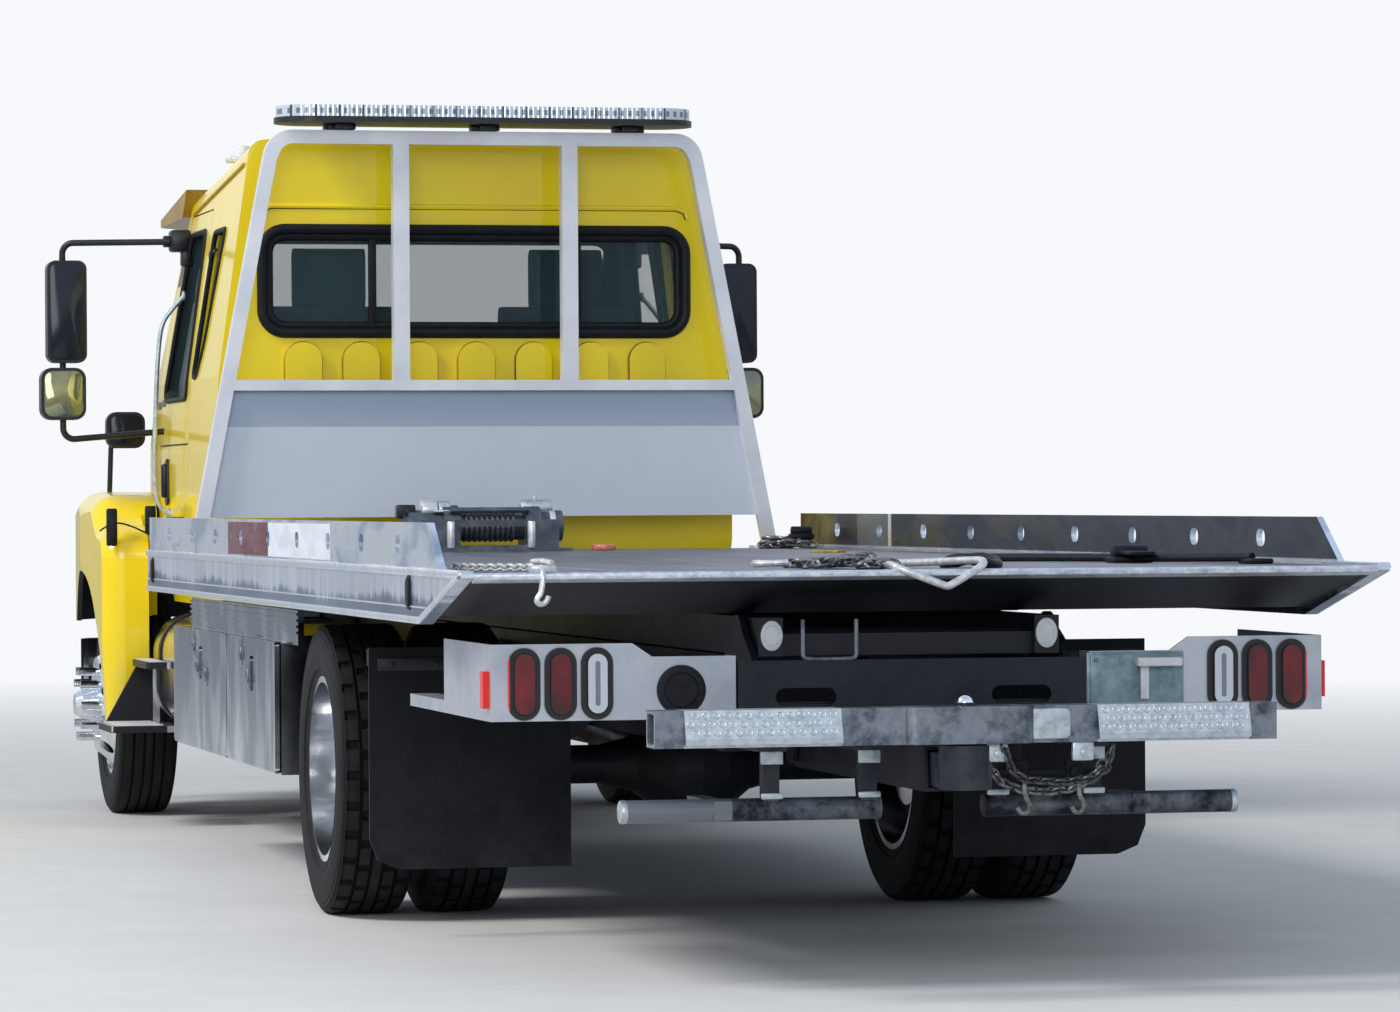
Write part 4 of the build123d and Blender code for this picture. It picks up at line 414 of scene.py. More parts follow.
rubber = Finish("tyre_rubber")
dust = rubber.noise(9.0, 6.0, 0.65)
along, rise, radius = from_axle(rubber)
turned = rise.turn(along)
tread = radius > 0.44
# The sipes and the grooves' band are painted near black: painted shade in the recesses.
sipes = tread * ((turned * 30.0 + (rubber.x * 160.0).sine() * 0.35).fraction() < 0.1)
groove_shade = rubber.between(radius, 0.436, 0.4565)
ribs = (1.0 - tread) * ((turned * 60.0).sine() > 0.2) * rubber.between(radius, 0.424, 0.44)
worn = rubber.over((0.006, 0.007, 0.009), (dust * 0.6, (0.036, 0.035, 0.034)),
                   (groove_shade.most(sipes) * 0.7, (0.003, 0.003, 0.003)))
relief = 0.4 * ribs - sipes + 0.08 * rubber.noise(90.0, 3.0)
tyre_rubber = rubber.surface(worn, 0.66 + 0.15 * dust, (relief, 0.7, 0.004), Specular_IOR_Level=0.2)
tyre_half = [(0.0, 0.4598), (0.0135, 0.4598), (0.015, 0.4475), (0.0235, 0.4475), (0.025, 0.4596), (0.0575, 0.4592),
             (0.059, 0.447), (0.0675, 0.447), (0.069, 0.459), (0.098, 0.4575), (0.109, 0.453), (0.115, 0.442),
             (0.1175, 0.44), (0.1185, 0.426), (0.1215, 0.4235), (0.1215, 0.419), (0.12, 0.417), (0.1255, 0.385),
             (0.1268, 0.37), (0.125, 0.35), (0.1215, 0.326), (0.1235, 0.3225), (0.122, 0.316), (0.116, 0.313),
             (0.113, 0.299), (0.106, 0.2868)]
tyre_section = [(-x, r) for x, r in reversed(tyre_half[1:])] + tyre_half
tyre_steps = 90


def tyre(middle_x, axle_y, notched):
    """A tyre turned from its section: grooves round the tread, rings on the walls, blocks if notched."""
    bpy.ops.mesh.primitive_circle_add(vertices=len(tyre_section), fill_type="NOTHING")
    piece = bpy.context.object
    for vertex, (x, r) in zip(piece.data.vertices, tyre_section):
        vertex.co = (middle_x + x, axle_y, axle_z + r)
    mode("EDIT")
    bpy.ops.mesh.select_all(action="SELECT")
    bpy.ops.mesh.spin(steps=tyre_steps, angle=2 * pi, center=(middle_x, axle_y, axle_z), axis=(1, 0, 0))
    bpy.ops.mesh.select_all(action="SELECT")
    bpy.ops.mesh.remove_doubles(threshold=0.0002)
    bpy.ops.mesh.normals_make_consistent(inside=False)
    bpy.ops.mesh.select_all(action="DESELECT")
    mode("OBJECT")
    if not notched:
        return piece
    for face in piece.data.polygons:
        x, y, z = face.center - Vector((middle_x, axle_y, axle_z))
        step = int(0.5 + (pi + Vector((y, z)).angle_signed(Vector((1, 0)))) * tyre_steps / (2 * pi))
        shoulder = 0.07 < abs(x) < 0.112 and step % 3 == 0
        rib = 0.026 < abs(x) < 0.057 and step % 3 == 1
        face.select = (y * y + z * z) ** 0.5 > 0.452 and (shoulder or rib)
    mode("EDIT")
    bpy.ops.mesh.select_mode(type="FACE")
    bpy.ops.mesh.inset(thickness=0.004, depth=-0.01, use_individual=False)
    bpy.ops.mesh.select_mode(type="VERT")
    mode("OBJECT")
    return piece


for side, s in flanks:
    steer_tyre = seat(tyre(s * 1.072, front_axle_y, False), f"road_tyre_front_{side}", f"wheel_front_{side}",
                      tyre_rubber)
    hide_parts(f"tyre_front_{side}")
    drive_tyres = seat([tyre(s * x, rear_axle_y, True) for x in (0.78, 1.085)], f"road_tyres_rear_{side}",
                       f"wheels_rear_{side}", tyre_rubber)
    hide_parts(f"tyres_rear_{side}")
wheel = Finish("polished_wheel")
film = wheel.noise(14.0, 5.0, 0.6)
turning_marks = (from_axle(wheel)[2] * 900.0).sine()
polished_wheel = wheel.surface(wheel.mix(film, (0.9, 0.91, 0.93), (0.7, 0.72, 0.75)), 0.08 + 0.14 * film,
                               (turning_marks, 0.03, 0.0004), Metallic=1.0)
dress(polished_wheel, "rim_front", "rims_rear")


# Engine block and exhaust: cast iron, and steel burnt brown by heat. Neither shows in the
# photograph; they are seen from below and with the hood up.
engine_iron = two_tone("cast_iron", 20.0, (0.07, 0.07, 0.075), (0.13, 0.12, 0.115), 0.6, (80.0, 0.3, 0.002),
                       Metallic=0.3)
dress(engine_iron, "engine")
exhaust_steel = two_tone("exhaust_steel", 5.0, (0.3, 0.27, 0.24), (0.16, 0.11, 0.08), 0.5, (60.0, 0.1, 0.001),
                         Metallic=0.8)
dress(exhaust_steel, "exhaust")


# Toolboxes, fuel tank and battery box: polished aluminium sheet, smeared and bright. On the toolboxes the
# smears are also painted reflection, pale and dark blue-grey and darker higher up. The drop doors close on
# black seals and have recessed paddle latches; the tank hangs in straps.
bright = Finish("polished_aluminium")
warp = bright.node("TexNoise", inputs={"Vector": bright.stretch(1.0, 1.5, 0.75), "Scale": 1.9, "Detail": 5.0,
                                       "Roughness": 0.5, "Distortion": 1.6})
# Painted reflection over the real smears: wide pale and dark blue-grey patches, darker towards the top.
smear_and_reflection = 1.0 - bright.level(warp - (bright.z - 0.6) * 0.22, 0.43, 0.68) * 0.92
hairs = bright.noise(220.0, 2.0, 0.5, bright.stretch(1.0, 0.05, 1.0))
polished_aluminium = bright.surface(bright.mix(smear_and_reflection, (0.8, 0.83, 0.88), (0.15, 0.18, 0.24)), 0.26 - 0.12 * smear_and_reflection,
                                    (hairs + smear_and_reflection, 0.05, 0.001), Metallic=1.0)
dress(polished_aluminium, "toolbox", "toolbox_door_rear", "toolbox_door_front")
tank = Finish("tank_aluminium")
strap_bands = tank.between(tank.y, 2.955, 3.025).most(tank.between(tank.y, 2.095, 2.165))
dark_parts = strap_bands.most(abs(tank.x) > 1.0975)
tank_smear = tank.noise(2.4, 6.0, 0.6)
tank_colour = tank.over((0.86, 0.86, 0.86), (tank_smear, (0.52, 0.52, 0.54)), (dark_parts, (0.01, 0.011, 0.014)))
tank_aluminium = tank.surface(tank_colour, 0.14 + 0.1 * tank_smear + 0.3 * dark_parts, (tank_smear, 0.05, 0.001),
                              Metallic=1.0 - dark_parts, Specular_IOR_Level=0.3)
dress(tank_aluminium, "fuel_tank", "battery_box")


def sheet(places, push):
    """A sheet cut to an outline of points and pushed out to its thickness."""
    bpy.ops.mesh.primitive_circle_add(vertices=len(places), fill_type="NGON")
    piece = bpy.context.object
    for vertex, place in zip(piece.data.vertices, places):
        vertex.co = place
    mode("EDIT")
    bpy.ops.mesh.select_all(action="SELECT")
    bpy.ops.mesh.extrude_region_move(TRANSFORM_OT_translate={"value": push})
    bpy.ops.mesh.select_all(action="SELECT")
    bpy.ops.mesh.normals_make_consistent(inside=False)
    mode("OBJECT")
    return piece


def flat(outline, depth, bevel=0.002, axis="X", at=0.0):
    """A flat sheet square to an axis, with its edges rounded."""
    return round_edges(sheet(on_plane(axis, at, outline), [depth * (name == axis) for name in "XYZ"]), bevel)


def rounded(low, high, radius, steps=6):
    """The points of a rectangle with round corners."""
    corners = ((high[0] - radius, high[1] - radius, 0), (low[0] + radius, high[1] - radius, 90),
               (low[0] + radius, low[1] + radius, 180), (high[0] - radius, low[1] + radius, 270))
    return [(x + radius * cos(radians(turn + 90 * i / steps)), z + radius * sin(radians(turn + 90 * i / steps)))
            for x, z, turn in corners for i in range(steps + 1)]


def oblong(middle, half, radius):
    """The same about a middle point, from the rectangle's half sizes."""
    return rounded([m - h for m, h in zip(middle, half)], [m + h for m, h in zip(middle, half)], radius)


def hoop(points, radius, sides=3):
    """A bar that follows an outline all the way round."""
    return rod(points, radius, closed=True, straight=True, sides=sides)


def turned_over(piece, s):
    """A right-hand piece made its mirror image where s is negative."""
    if s < 0:
        piece.data.transform(Matrix.Diagonal((-1, 1, 1, 1)))
        piece.data.flip_normals()
    return piece


black_plastic = two_tone("black_plastic", 30.0, (0.005, 0.006, 0.009), (0.013, 0.014, 0.019), 0.34,
                         (300.0, 0.1, 0.0005), Specular_IOR_Level=0.4)
shine = Finish("chrome")
chrome = shine.surface(shine.mix(shine.noise(12.0), (0.9, 0.91, 0.92), (0.78, 0.8, 0.83)),
                       0.05 + 0.08 * shine.noise(8.0), Metallic=1.0)
dress(chrome, "front_bumper", "grille", "tilt_rods", "lift_rod")
latch_steel = two_tone("latch_steel", 50.0, (0.26, 0.28, 0.33), (0.1, 0.11, 0.14), 0.28, Metallic=0.8)
door_face, latch_proud = 1.226, 0.005
for name, y0, y1, latches in (("rear", -0.954, 0.164, ((-0.193, 0.795, 0), (-0.395, 0.722, latch_proud))),
                              ("front", 0.176, 1.564, ((1.00, 0.795, 0), (0.688, 0.692, 0),
                                                       (0.87, 0.722, latch_proud)))):
    for side, s in flanks:
        parts = []
        for y, z, proud in latches:
            x = door_face + proud
            parts.append(flat(oblong((y, z), (0.03, 0.052), 0.014), 0.004, 0.0015, at=x - 0.002))
            parts.append(block((x, y - 0.02, z - 0.034), (x + 0.008, y + 0.02, z + 0.016)))
            parts.append(disc((x + 0.008, y, z - 0.008), 0.007, 0.006, axis="X", sides=16, bevel=0.001))
        seat([turned_over(part, s) for part in parts], f"box_latches_{name}_{side}",
             f"toolbox_door_{name}_{side}", latch_steel)
        edge = hoop(on_plane("X", s * (door_face - 0.014), rounded((y0 + 0.006, 0.41), (y1 - 0.006, 0.835), 0.02)),
                    0.006, 1)
        seat(edge, f"box_seal_{name}_{side}", f"toolbox_door_{name}_{side}", rubber_blank)
for body, s in (("tank", -1), ("battery", 1)):
    grips = []
    for low_x, high_x, top in ((1.11, 1.305, 0.412), (1.105, 1.168, 0.666)):
        for y in [2.768 + 0.047 * i for i in range(9)]:
            grips.append(block((s * low_x, y, top - 0.002), (s * high_x, y + 0.024, top + 0.005)))
    grips.append(block((s * 1.308, 2.745, 0.388), (s * 1.3195, 3.195, 0.4125)))
    seat(grips, f"{body}_step_treads", "chassis", pale_cap)


# Mudflaps: thick rubber sheets, scuffed and dusty towards the bottom, each held under a
# steel strip by four bolts.
flap = Finish("mudflap_rubber")
splash = flap.noise(7.0, 7.0, 0.7) * flap.level(flap.z * -1.0, -0.8, -0.2)
mudflap_rubber = flap.surface(flap.mix(splash * 0.6, (0.005, 0.007, 0.011), (0.035, 0.037, 0.042)), 0.6,
                              (flap.noise(40.0), 0.25, 0.002), Specular_IOR_Level=0.2)
dress(mudflap_rubber, "mudflaps")
for side, s in flanks:
    strip = block((s * 0.69, -2.756, 0.8), (s * 1.19, -2.752, 0.838), 0.002)
    heads = [disc((s * (0.74 + 0.135 * i), -2.758, 0.819), 0.011, 0.008, sides=6, bevel=0.001) for i in range(4)]
    seat([strip] + heads, f"flap_strip_{side}", "chassis", chassis_black)


# Bed: steel deck plate, dark and scratched along its length, on black crossmembers, between
# extruded aluminium side rails. The plate's tail edge is worn bright.
deck = Finish("deck_plate")
plate_level, rail_inner = 1.1135, 1.261
on_top = (deck.z > plate_level) * (abs(deck.x) < rail_inner + 0.0005)
rail = abs(deck.x) > rail_inner - 0.0005
tail_edge = (deck.y < -4.628) * (deck.z > 1.086) * (1.0 - rail)
scratches = deck.noise(30.0, 6.0, 0.7, deck.stretch(1.0, 0.03, 1.0), low=0.5, high=0.72)
patches = deck.noise(1.1, 6.0, 0.65)
top_colour = deck.over((0.085, 0.095, 0.125), (patches, (0.17, 0.18, 0.21)), (scratches * 0.6, (0.46, 0.49, 0.55)))
low_colour = deck.mix(deck.noise(5.0, 7.0, 0.7), (0.005, 0.007, 0.012), (0.016, 0.018, 0.025))
# The side rails are darker and bluish below a wavy line and pale above it, with vertical streaks of painted reflection
# there.
reflection_streaks = deck.noise(26.0, 3.0, 0.6, deck.stretch(0.0, 1.0, 0.05), low=0.3, high=0.7)
drift = deck.noise(1.4, 3.0, 0.5, deck.stretch(0.0, 1.0, 0.2), low=0.3, high=0.7)
rail_top_band = deck.level(deck.z + 0.03 * reflection_streaks + 0.045 * drift, 1.062, 1.082)
rail_colour = deck.mix(rail_top_band, deck.mix(drift, (0.13, 0.17, 0.26), (0.3, 0.36, 0.47)),
                       deck.mix(reflection_streaks, (0.6, 0.66, 0.76), (0.86, 0.9, 0.97)))
deck_colour = deck.over(low_colour, (on_top, top_colour), (rail, rail_colour),
                        (tail_edge * (0.55 + 0.45 * scratches), (0.8, 0.84, 0.9)))
deck_metal = (0.35 * on_top).most(0.85 * rail).most(0.85 * tail_edge)
deck_drawn = deck.noise(140.0, 2.0, 0.5, deck.stretch(1.0, 0.04, 1.0))
deck_plate = deck.surface(deck_colour, 0.5 - 0.26 * rail + 0.1 * patches - 0.1 * on_top,
                          (deck_drawn + scratches, 0.1, 0.0008), Specular_IOR_Level=0.3, Metallic=deck_metal)
dress(deck_plate, "deck")
lip_aluminium = two_tone("rail_lip", 1.5, (0.9, 0.93, 0.97), (0.58, 0.63, 0.72), 0.24, rougher=0.15, detail=6.0,
                         spread=0.7, stretch=(1, 3, 1), Metallic=0.8)
rail_side, rail_nose = 1.2955, 1.765
lip_outlines = (
    (0.008, ((rail_nose, 1.103), (rail_nose, 1.125), (-4.66, 1.125), (-4.676, 1.112), (-4.64, 1.103))),
    (0.008, ((rail_nose, 0.9705), (rail_nose, 0.99), (-4.075, 0.99), (-4.6, 1.103), (-4.672, 1.103),
             (-4.082, 0.9705))),
    (0.003, ((rail_nose, 1.014), (rail_nose, 1.019), (-4.2, 1.019), (-4.175, 1.014))))
for side, s in flanks:
    seat([flat(outline, s * thick, at=s * rail_side) for thick, outline in lip_outlines],
         f"side_rail_lips_{side}", "bed", lip_aluminium)
    for number, y, z in (("front", 1.62, 1.05), ("rear", -3.9, 1.055)):
        seat([flat(oblong((y, z), (0.026, 0.04), 0.02), s * 0.008, 0.003, at=s * (rail_side + 0.001)),
              flat(oblong((y, z), (0.034, 0.048), 0.026), s * 0.004, 0.001, at=s * rail_side)],
             f"rail_marker_{number}_{side}", "bed", rubber_blank)
bare_steel = two_tone("bare_edge", 22.0, (0.86, 0.9, 0.96), (0.34, 0.38, 0.46), 0.3, (None, 0.3, 0.001), rougher=0.2,
                      detail=6.0, spread=0.75, stretch=(1, 1, 2), high=0.7, Metallic=0.75)
tail_strip = flat(((-4.676, 1.1175), (-4.69, 1.112), (-4.688, 1.1), (-4.64, 1.0895), (-4.64, 1.096)), 2.52, 0.0015,
                  at=-1.26)
seat(tail_strip, "tail_edge_strip", "bed", bare_steel)
mill = Finish("mill_aluminium")
stain = mill.noise(2.2, 8.0, 0.7, low=0.4, high=0.66)
drawn = mill.noise(140.0, 2.0, 0.5, mill.stretch(1.0, 0.04, 1.0))
mill_aluminium = mill.surface(mill.mix(stain, (0.56, 0.59, 0.65), (0.36, 0.39, 0.45)), 0.34 + 0.22 * stain,
                              (drawn, 0.08, 0.0006), Metallic=0.6)
dress(mill_aluminium, "rear_lamp_panels")


# Stinger and stored lift arms: black painted tube, rubbed to bare metal on the arms, with the whole
# left arm painted lighter as a highlight, and a polished coupling ball.
lift_steel = Finish("lift_steel")
rubbed = lift_steel.noise(8.0, 7.0, 0.7, low=0.42, high=0.66)
ball_zone = (lift_steel.z > 0.7695) * (abs(lift_steel.x) < 0.035)
on_tubes = lift_steel.between(lift_steel.z, 0.44, 0.512)
# Rubbed patches are wear; the left arm's lighter tone along its length is a painted highlight.
wear_and_left_highlight = (rubbed * (0.15 + 0.75 * on_tubes)).most(0.9 * on_tubes * (lift_steel.x < -0.56))
lift_colour = lift_steel.over((0.01, 0.013, 0.021), (wear_and_left_highlight, (0.2, 0.215, 0.24)), (ball_zone, (0.88, 0.89, 0.9)))
worn_lift_steel = lift_steel.surface(lift_colour, 0.42 - 0.34 * ball_zone, (rubbed, 0.1, 0.001),
                                     Metallic=(0.45 * on_tubes).most(ball_zone), Specular_IOR_Level=0.35)
dress(worn_lift_steel, "stinger", "lift_arms")


# Side boards: bright aluminium with oval tie-down slots. Red and silver reflective sheet is
# stuck on the outer faces; the inner faces are painted dark as shade, with a few worn patches of tape.
board = Finish("side_board")
board_foot, board_top, board_outer, board_inner = 1.13, 1.24, 1.2885, 1.2715
outer_face = (abs(board.x) > board_outer) * board.between(board.z, board_foot, board_top)
shaded_inner_face = (abs(board.x) < board_inner) * (board.z > board_foot)
red_patch = outer_face * board.between(board.y, -1.25, -0.335)
silver_patch = outer_face * board.between(board.y, -2.505, -1.25)
tape = red_patch.most(silver_patch)
honeycomb = (board.y * 1400.0).sine() * (board.z * 1400.0).sine()
unworn = 1.0 - board.noise(26.0, 6.0, 0.75, low=0.62, high=0.68) * 0.7
board_warp = board.node("TexNoise", inputs={"Vector": board.stretch(1.0, 1.0, 3.0), "Scale": 2.2, "Detail": 4.0,
                                            "Distortion": 1.2})
# Stains and painted reflection: the outer aluminium mottled pale and dark blue-grey.
board_stain_and_reflection = board.level(board_warp, 0.46, 0.63)
board_colour = board.over(
    board.mix(board_stain_and_reflection, (0.8, 0.85, 0.92), (0.36, 0.42, 0.52)),
    # The inner faces' dark colour is painted shade.
    (shaded_inner_face, board.mix(board_stain_and_reflection, (0.052, 0.06, 0.082), (0.04, 0.047, 0.066))),
    (shaded_inner_face * board.between(board.y, 1.2, 1.72) * 0.6 * board.noise(9.0, 5.0, 0.7), (0.36, 0.27, 0.06)),
    (shaded_inner_face * board.between(board.y, 0.47, 0.9) * 0.35, (0.42, 0.45, 0.5)),
    (shaded_inner_face * board.between(board.y, 0.415, 0.462), (0.8, 0.8, 0.8)),
    (red_patch * unworn, (0.12, 0.003, 0.016)),
    (silver_patch * unworn, (0.82, 0.88, 0.96)))
side_board = board.surface(board_colour, 0.26 + 0.2 * board_stain_and_reflection, (honeycomb * tape, 0.1, 0.0004),
                           Metallic=0.8 - 0.7 * tape - 0.3 * shaded_inner_face, Coat_Weight=0.15 * tape)
dress(side_board, "side_boards")


# Headboard: a frame of bright aluminium tube with a smooth sheet below its middle rail, the sheet
# tinted blue as painted sky reflection and its upper band painted darker as the middle rail's shadow.
tube = Finish("headboard_tube")
sheet_half = 1.058 - (tube.z - 1.245) * 0.196
on_sheet = (abs(tube.x) < sheet_half + 0.02) * (tube.z < 1.742) * tube.between(tube.y, 1.688, 1.698)
cloudy = tube.noise(1.3, 5.0, 0.6)
tube_colour = tube.mix(tube.noise(3.0, 6.0), (0.84, 0.86, 0.9), (0.66, 0.69, 0.75))
# The sheet's blue tint is painted sky reflection; its band above 1.592 is painted shadow.
sheet_colour = tube.over((0.66, 0.71, 0.8), (cloudy, (0.6, 0.65, 0.74)),
                         (on_sheet * (tube.z > 1.592), (0.4, 0.46, 0.58)))
headboard_tube = tube.surface(tube.mix(on_sheet, tube_colour, sheet_colour), 0.36 + 0.1 * cloudy,
                              (tube.noise(90.0), 0.04, 0.0005), Metallic=0.35)
dress(headboard_tube, "headboard")


# Light bar: clear domed lens over rows of lamp modules on a black tray, held by three feet
# bolted to the headboard's top tube.
bar = Finish("light_bar_lens")
module = (bar.x / 0.0905 + 0.5).fraction()
cell = ((bar.x * 210.0).sine() > 0.1) * bar.between(bar.z, 2.782, 2.803)
tray = bar.z < 2.7715
lensed = 1.0 - tray
bar_colour = bar.over((0.62, 0.7, 0.8), (cell, (0.16, 0.2, 0.27)),
                      (bar.between(module, 0.0, 0.09), (0.06, 0.07, 0.09)), (tray, (0.01, 0.011, 0.014)))
light_bar_lens = bar.surface(bar_colour, 0.1 + 0.3 * tray, ((bar.x * 340.0).sine() * lensed, 0.35, 0.002),
                             Metallic=0.25 * lensed, Coat_Weight=0.8 * lensed)
dress(light_bar_lens, "light_bar")
feet = []
for x in (-0.56, 0.0, 0.56):
    feet.append(block((x - 0.055, 1.64, 2.727), (x + 0.055, 1.706, 2.748), 0.004))
    feet.append(block((x - 0.03, 1.6, 2.731), (x + 0.03, 1.65, 2.749), 0.004))
    feet += [disc((x + dx, 1.636, 2.738), 0.008, 0.01, sides=6, bevel=0.001) for dx in (-0.038, 0.038)]
seat(feet, "light_bar_feet", "bed", black_plastic)


# Winch: grey cast housings and a drum wound with bright wire rope; a motor, bright bands and
# two posts, a clutch lever and an amber lamp below.
winch_grey = two_tone("winch_grey", 12.0, (0.055, 0.065, 0.085), (0.16, 0.18, 0.21), 0.38, (60.0, 0.2, 0.001),
                      detail=6.0, spread=0.7, Metallic=0.5)
dress(winch_grey, "winch")
wire = Finish("wire_rope")
lay = (wire.x * 900.0 + wire.y * 500.0 + wire.z * 500.0).sine()
wire_rope = wire.surface(wire.mix(lay * 0.5 + 0.5, (0.36, 0.37, 0.38), (0.14, 0.14, 0.15)), 0.42, (lay, 0.5, 0.001),
                         Metallic=0.9)
bright_fitting = two_tone("bright_fitting", 30.0, (0.9, 0.91, 0.92), (0.62, 0.64, 0.67), 0.3, Metallic=0.5)
drum_y = 1.22
drum_turn = [(drum_y + 0.052 * cos(2 * pi * k / 20), 1.21 + 0.052 * sin(2 * pi * k / 20)) for k in range(20)]
seat([hoop(on_plane("X", -0.235 + 0.02 * i, drum_turn), 0.009, 1) for i in range(13)],
     "winch_winding", "bed", wire_rope)
seat([disc((0.1, drum_y, 1.277), 0.032, 0.12, axis="X", bevel=0.006),
      disc((0.098, drum_y, 1.314), 0.008, 0.022, axis="Z"),
      disc((-0.252, drum_y, 1.272), 0.034, 0.046, axis="X", bevel=0.005),
      block((-0.3, 1.165, 1.262), (0.06, 1.185, 1.272), 0.004),
      block((-0.3, 1.255, 1.262), (0.06, 1.275, 1.272), 0.004)], "winch_motor", "bed", galvanised)
seat([disc((-0.309, drum_y, 1.272), 0.037, 0.062, axis="X", bevel=0.006, sides=40),
      disc((0.158, drum_y, 1.21), 0.0635, 0.022, axis="X", sides=48)]
     + [disc((x, 1.01, 1.179), 0.015, 0.1, axis="Z", bevel=0.004, sides=24) for x in (-0.263, 0.043)],
     "winch_bands", "bed", bright_fitting)
seat([block((-0.432, 1.19, 1.24), (-0.362, 1.25, 1.292), 0.008, 3),
      rod(((-0.4, 1.2, 1.25), (-0.404, 1.16, 1.262), (-0.406, 1.12, 1.27), (-0.406, 1.09, 1.272)), 0.007)],
     "winch_lever", "bed", black_plastic)
amber_dome = two_tone("amber_dome", 30.0, (0.85, 0.3, 0.16), (0.62, 0.16, 0.08), 0.3)
seat(disc((0.364, drum_y, 1.127), 0.046, 0.024, axis="Z", bevel=0.01), "deck_lamp", "bed",
     amber_dome)


# Chains and hooks left on the deck: a bent V bar with its chain hanging over the tail edge, a
# short chain and hook on the left, a rubber ring, a worn tag and a ratchet at each end.
def chain(points, link=0.017, wire_radius=0.0045):
    """Oval links, each turned a quarter from the last, along a line of points."""
    bpy.ops.mesh.primitive_torus_add(major_radius=link, minor_radius=wire_radius, major_segments=14, minor_segments=6)
    first = bpy.context.object
    first.data.transform(Matrix.Diagonal((1.25, 0.78, 1, 1)))
    places = [Vector(point) for point in points]
    pitch = link * 1.25 * 2 - wire_radius * 3
    links, start = [], 0.0
    for a, b in zip(places, places[1:]):
        length = (b - a).length
        turn = (b - a).to_track_quat("X", "Z").to_matrix().to_4x4()
        while start < length:
            twin = first.copy()
            twin.data = first.data.copy()
            bpy.context.scene.collection.objects.link(twin)
            twin.data.transform(Matrix.Translation(a + (b - a) * (start / length)) @ turn
                                @ Matrix.Rotation(radians(45 + 90 * len(links)), 4, "X"))
            links.append(twin)
            start += pitch
        start -= length
    bpy.data.objects.remove(first)
    return links


chain_steel = two_tone("chain_steel", 50.0, (0.3, 0.3, 0.31), (0.1, 0.085, 0.075), 0.38, (None, 0.2, 0.0008),
                       detail=5.0, spread=0.7, Metallic=0.85)
pale_steel = two_tone("pale_steel", 60.0, (0.78, 0.79, 0.8), (0.5, 0.5, 0.5), 0.36, Metallic=0.55)
worn_tag = two_tone("worn_tag", 40.0, (0.55, 0.4, 0.03), (0.25, 0.16, 0.04), 0.8)
lying, plate_top, behind_tail = 1.128, 1.1155, -4.702
v_bar = rod(((-0.03, -3.79, lying), (-0.06, -4.1, lying), (-0.105, -4.56, lying), (-0.112, -4.655, 1.129),
             (-0.108, -4.69, 1.122), (-0.02, -4.704, 1.088), (0.012, -4.706, 1.076), (0.026, -4.707, 1.071),
             (0.04, -4.706, 1.076), (0.075, behind_tail, 1.095), (0.135, -4.688, lying), (0.142, -4.655, 1.14),
             (0.125, -4.6, 1.14), (0.02, -4.36, 1.13), (-0.02, -4.2, lying)), 0.0105, sides=4, steps=8)
seat(v_bar, "bridle_bar", "bed", pale_steel)
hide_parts("bridle")
heap = ((-0.24, -4.05, lying), (-0.12, -4.16, 1.132), (-0.26, -4.25, 1.13), (-0.1, -4.33, 1.138),
        (-0.25, -4.4, 1.134), (-0.12, -4.46, 1.15), (-0.22, -4.52, 1.14), (-0.08, -4.55, 1.132), (-0.2, -4.6, lying))
seat(chain(heap, 0.019, 0.0055), "bridle_chain", "bed", chain_steel)
round_points = [2 * pi * k / 24 for k in range(24)]
ring = rod([(0.21 + 0.07 * cos(a), -4.3 + 0.11 * sin(a), 1.132 + 0.01 * sin(2 * a)) for a in round_points], 0.015,
           closed=True, sides=4, steps=3)
seat(ring, "rubber_ring", "bed", rubber_blank)
tag = flat(((-0.215, -4.16), (-0.15, -4.22), (-0.105, -4.15), (-0.165, -4.08)), 0.007, axis="Z", at=1.158)
seat(tag, "strap_tag", "bed", worn_tag)
shackle = rod(((-0.3, -3.92, lying), (-0.34, -3.98, lying), (-0.31, -4.05, lying), (-0.25, -4.05, 1.13)), 0.01)
seat(shackle, "bridle_shackle", "bed", pale_steel)
lashing = ((-1.225, -4.2, lying), (-1.18, -4.36, lying), (-1.12, -4.52, 1.129), (-1.075, -4.64, 1.131))
seat(chain(lashing, 0.015, 0.0042), "left_chain", "bed", pale_steel)
seat([block((-1.105, -4.672, 1.1165), (-1.035, -4.61, 1.137), 0.006),
      rod(((-1.09, -4.6, 1.146), (-1.07, -4.64, 1.152), (-1.05, -4.676, 1.143)), 0.007)],
     "left_binder", "bed", pale_steel)
hook = rod([(-1.075, -4.672, 1.125), (-1.078, -4.7, 1.118)]
           + on_plane("Y", behind_tail, ((-1.082, 1.085), (-1.086, 1.062), (-1.1, 1.045), (-1.088, 1.032),
                                         (-1.07, 1.04), (-1.066, 1.056))), 0.008)
seat(hook, "left_hook", "bed", pale_steel)
foot_heap = ((1.02, 1.36, lying), (1.15, 1.42, 1.13), (1.04, 1.47, 1.134), (1.18, 1.5, 1.14), (1.08, 1.55, 1.15),
             (1.2, 1.4, 1.146), (1.1, 1.34, 1.138), (1.22, 1.32, lying))
seat(chain(foot_heap, 0.019, 0.0055), "headboard_foot_chain", "bed", chain_steel)
seat([block((1.135, 1.365, 1.15), (1.225, 1.435, 1.172), 0.006),
      disc((1.18, 1.4, 1.182), 0.018, 0.08, axis="X", bevel=0.004),
      block((1.07, 1.45, plate_top), (1.15, 1.52, 1.155), 0.008)],
     "headboard_foot_ratchet", "bed", rubber_blank)
